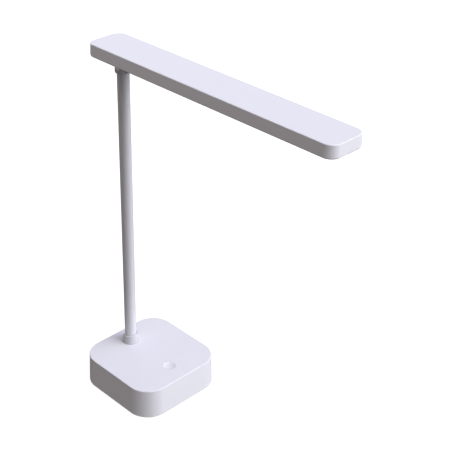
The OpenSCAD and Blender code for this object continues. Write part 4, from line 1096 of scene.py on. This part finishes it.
# each set's shank diameter, head height and thread pitch
screws("plate_screw_set", "plate_screws", "base", 2.8, 1.5, 1.2, seed=3)
screws("board_screw_set", "board_screws", "base", 1.9, 1.3, 0.8, seed=5)
screws("charge_screw_set", "charge_screws", "base", 1.9, 1.3, 0.8, seed=7, down=True)
screws("bracket_screw_set", "bracket_screws", "head", 2.1, 1.4, 0.9, seed=11)
screws("cover_screw_set", "cover_screws", "head", 2.1, 0.8, 0.9, seed=13)
screws("led_board_screw_set", "led_board_screws", "head", 1.9, 1.3, 0.8, seed=17)


def row_tree():
    """Rows of one shape: a line of it, and that line again for each further row."""
    tree, given = tree_with("rows of one shape", {
        "Shape": "Object", "Count": "Int", "Step": "Vector", "Rows": "Int",
        "Row step": "Vector", "Finish": "Material"})
    shape = add(tree, "GeometryNodeObjectInfo", {"Object": given["Shape"]}).outputs["Geometry"]
    for count, step in (("Count", "Step"), ("Rows", "Row step")):
        line = add(tree, "GeometryNodeMeshLine", {"Count": given[count], "Offset": given[step]})
        shape = add(tree, "GeometryNodeInstanceOnPoints", {
            "Points": line.outputs[0], "Instance": shape}).outputs[0]
    return set_out(tree, given, {"Instance": shape})


def in_rows(shape, start, count, step, look, rows=1, row_step=(0, 0, 0)):
    """Mesh of one shape set out in rows from a starting point."""
    shape.data.transform(Matrix.Scale(MM, 4))
    made = grown(row_tree(), [start], {
        "Shape": shape, "Count": count, "Step": tuple(Vector(step) * MM), "Rows": rows,
        "Row step": tuple(Vector(row_step) * MM), "Finish": look})
    bpy.data.objects.remove(shape)
    return made


def diodes():
    """Each diode is a nylon case with a tapered window, filled with phosphor to near its rim."""
    found = parts_of("led_rows")
    low, high = found[0]
    start = ((low.x + high.x) / 2, (low.y + high.y) / 2, high.z)
    layout = {"count": len(found) // 2, "step": found[2][0] - low, "rows": 2,
              "row_step": found[1][0] - low}
    half_x, half_y, face = (high.x - low.x) / 2, (high.y - low.y) / 2, low.z - high.z
    frame_w, corner, depth, draft, edge = 0.3, 0.3, 0.3, 0.1, 0.08
    below_rim, rim_in, floor_in = 0.06, 0.12, 0.16
    core = (half_x - frame_w - corner, half_y - frame_w - corner)
    case = softened(block((-half_x, -half_y, face), (half_x, half_y, 0)), edge, 1)
    combined(case, "DIFFERENCE", [lofted(
        [(corner, face - draft), (corner - draft, face + depth)], core, 3)])
    case = in_rows(case, start, look=diode_white, **layout)
    piece(case, "diode_cases", "head", "led_board_white", "led_rows", look=diode_white)
    fill = lofted([(corner - rim_in, face + below_rim), (corner - floor_in, face + depth)],
                  core, 3)
    fill = in_rows(fill, start, look=looks["led_phosphor"], **layout)
    piece(fill, "diode_windows", "head", "led_phosphor", "led_rows")


def usb_contacts():
    """Twelve gold strips on each face of the tongue, half a millimetre apart."""
    count, pitch, strip_w, strip_l, skin, tip = 12, 0.5, 0.25, 4.2, 0.03, 0.35
    start = (usb_low.x + TONGUE_IN + tip, -(count - 1) / 2 * pitch, usb_z)
    pair = [block((0, -strip_w / 2, side * TONGUE_HALF.y - skin),
                  (strip_l, strip_w / 2, side * TONGUE_HALF.y + skin)) for side in (-1, 1)]
    combined(pair[0], "UNION", pair[1:])
    strips = in_rows(pair[0], start, count, (0, pitch, 0), contact_gold)
    piece(strips, "usb_contact_strips", "base", "nickel", "usb_socket", look=contact_gold)


diodes()
usb_contacts()


# ---- the rest of the frame keeps its shape and gets its finish ----

slots = {part["node"]: part["material_slot"] for part in frame["record"]["subparts"]}
for node, shown in frame["nodes"].items():
    if not shown.hide_render:
        shown.data.materials.clear()
        shown.data.materials.append(looks[slots[node]])
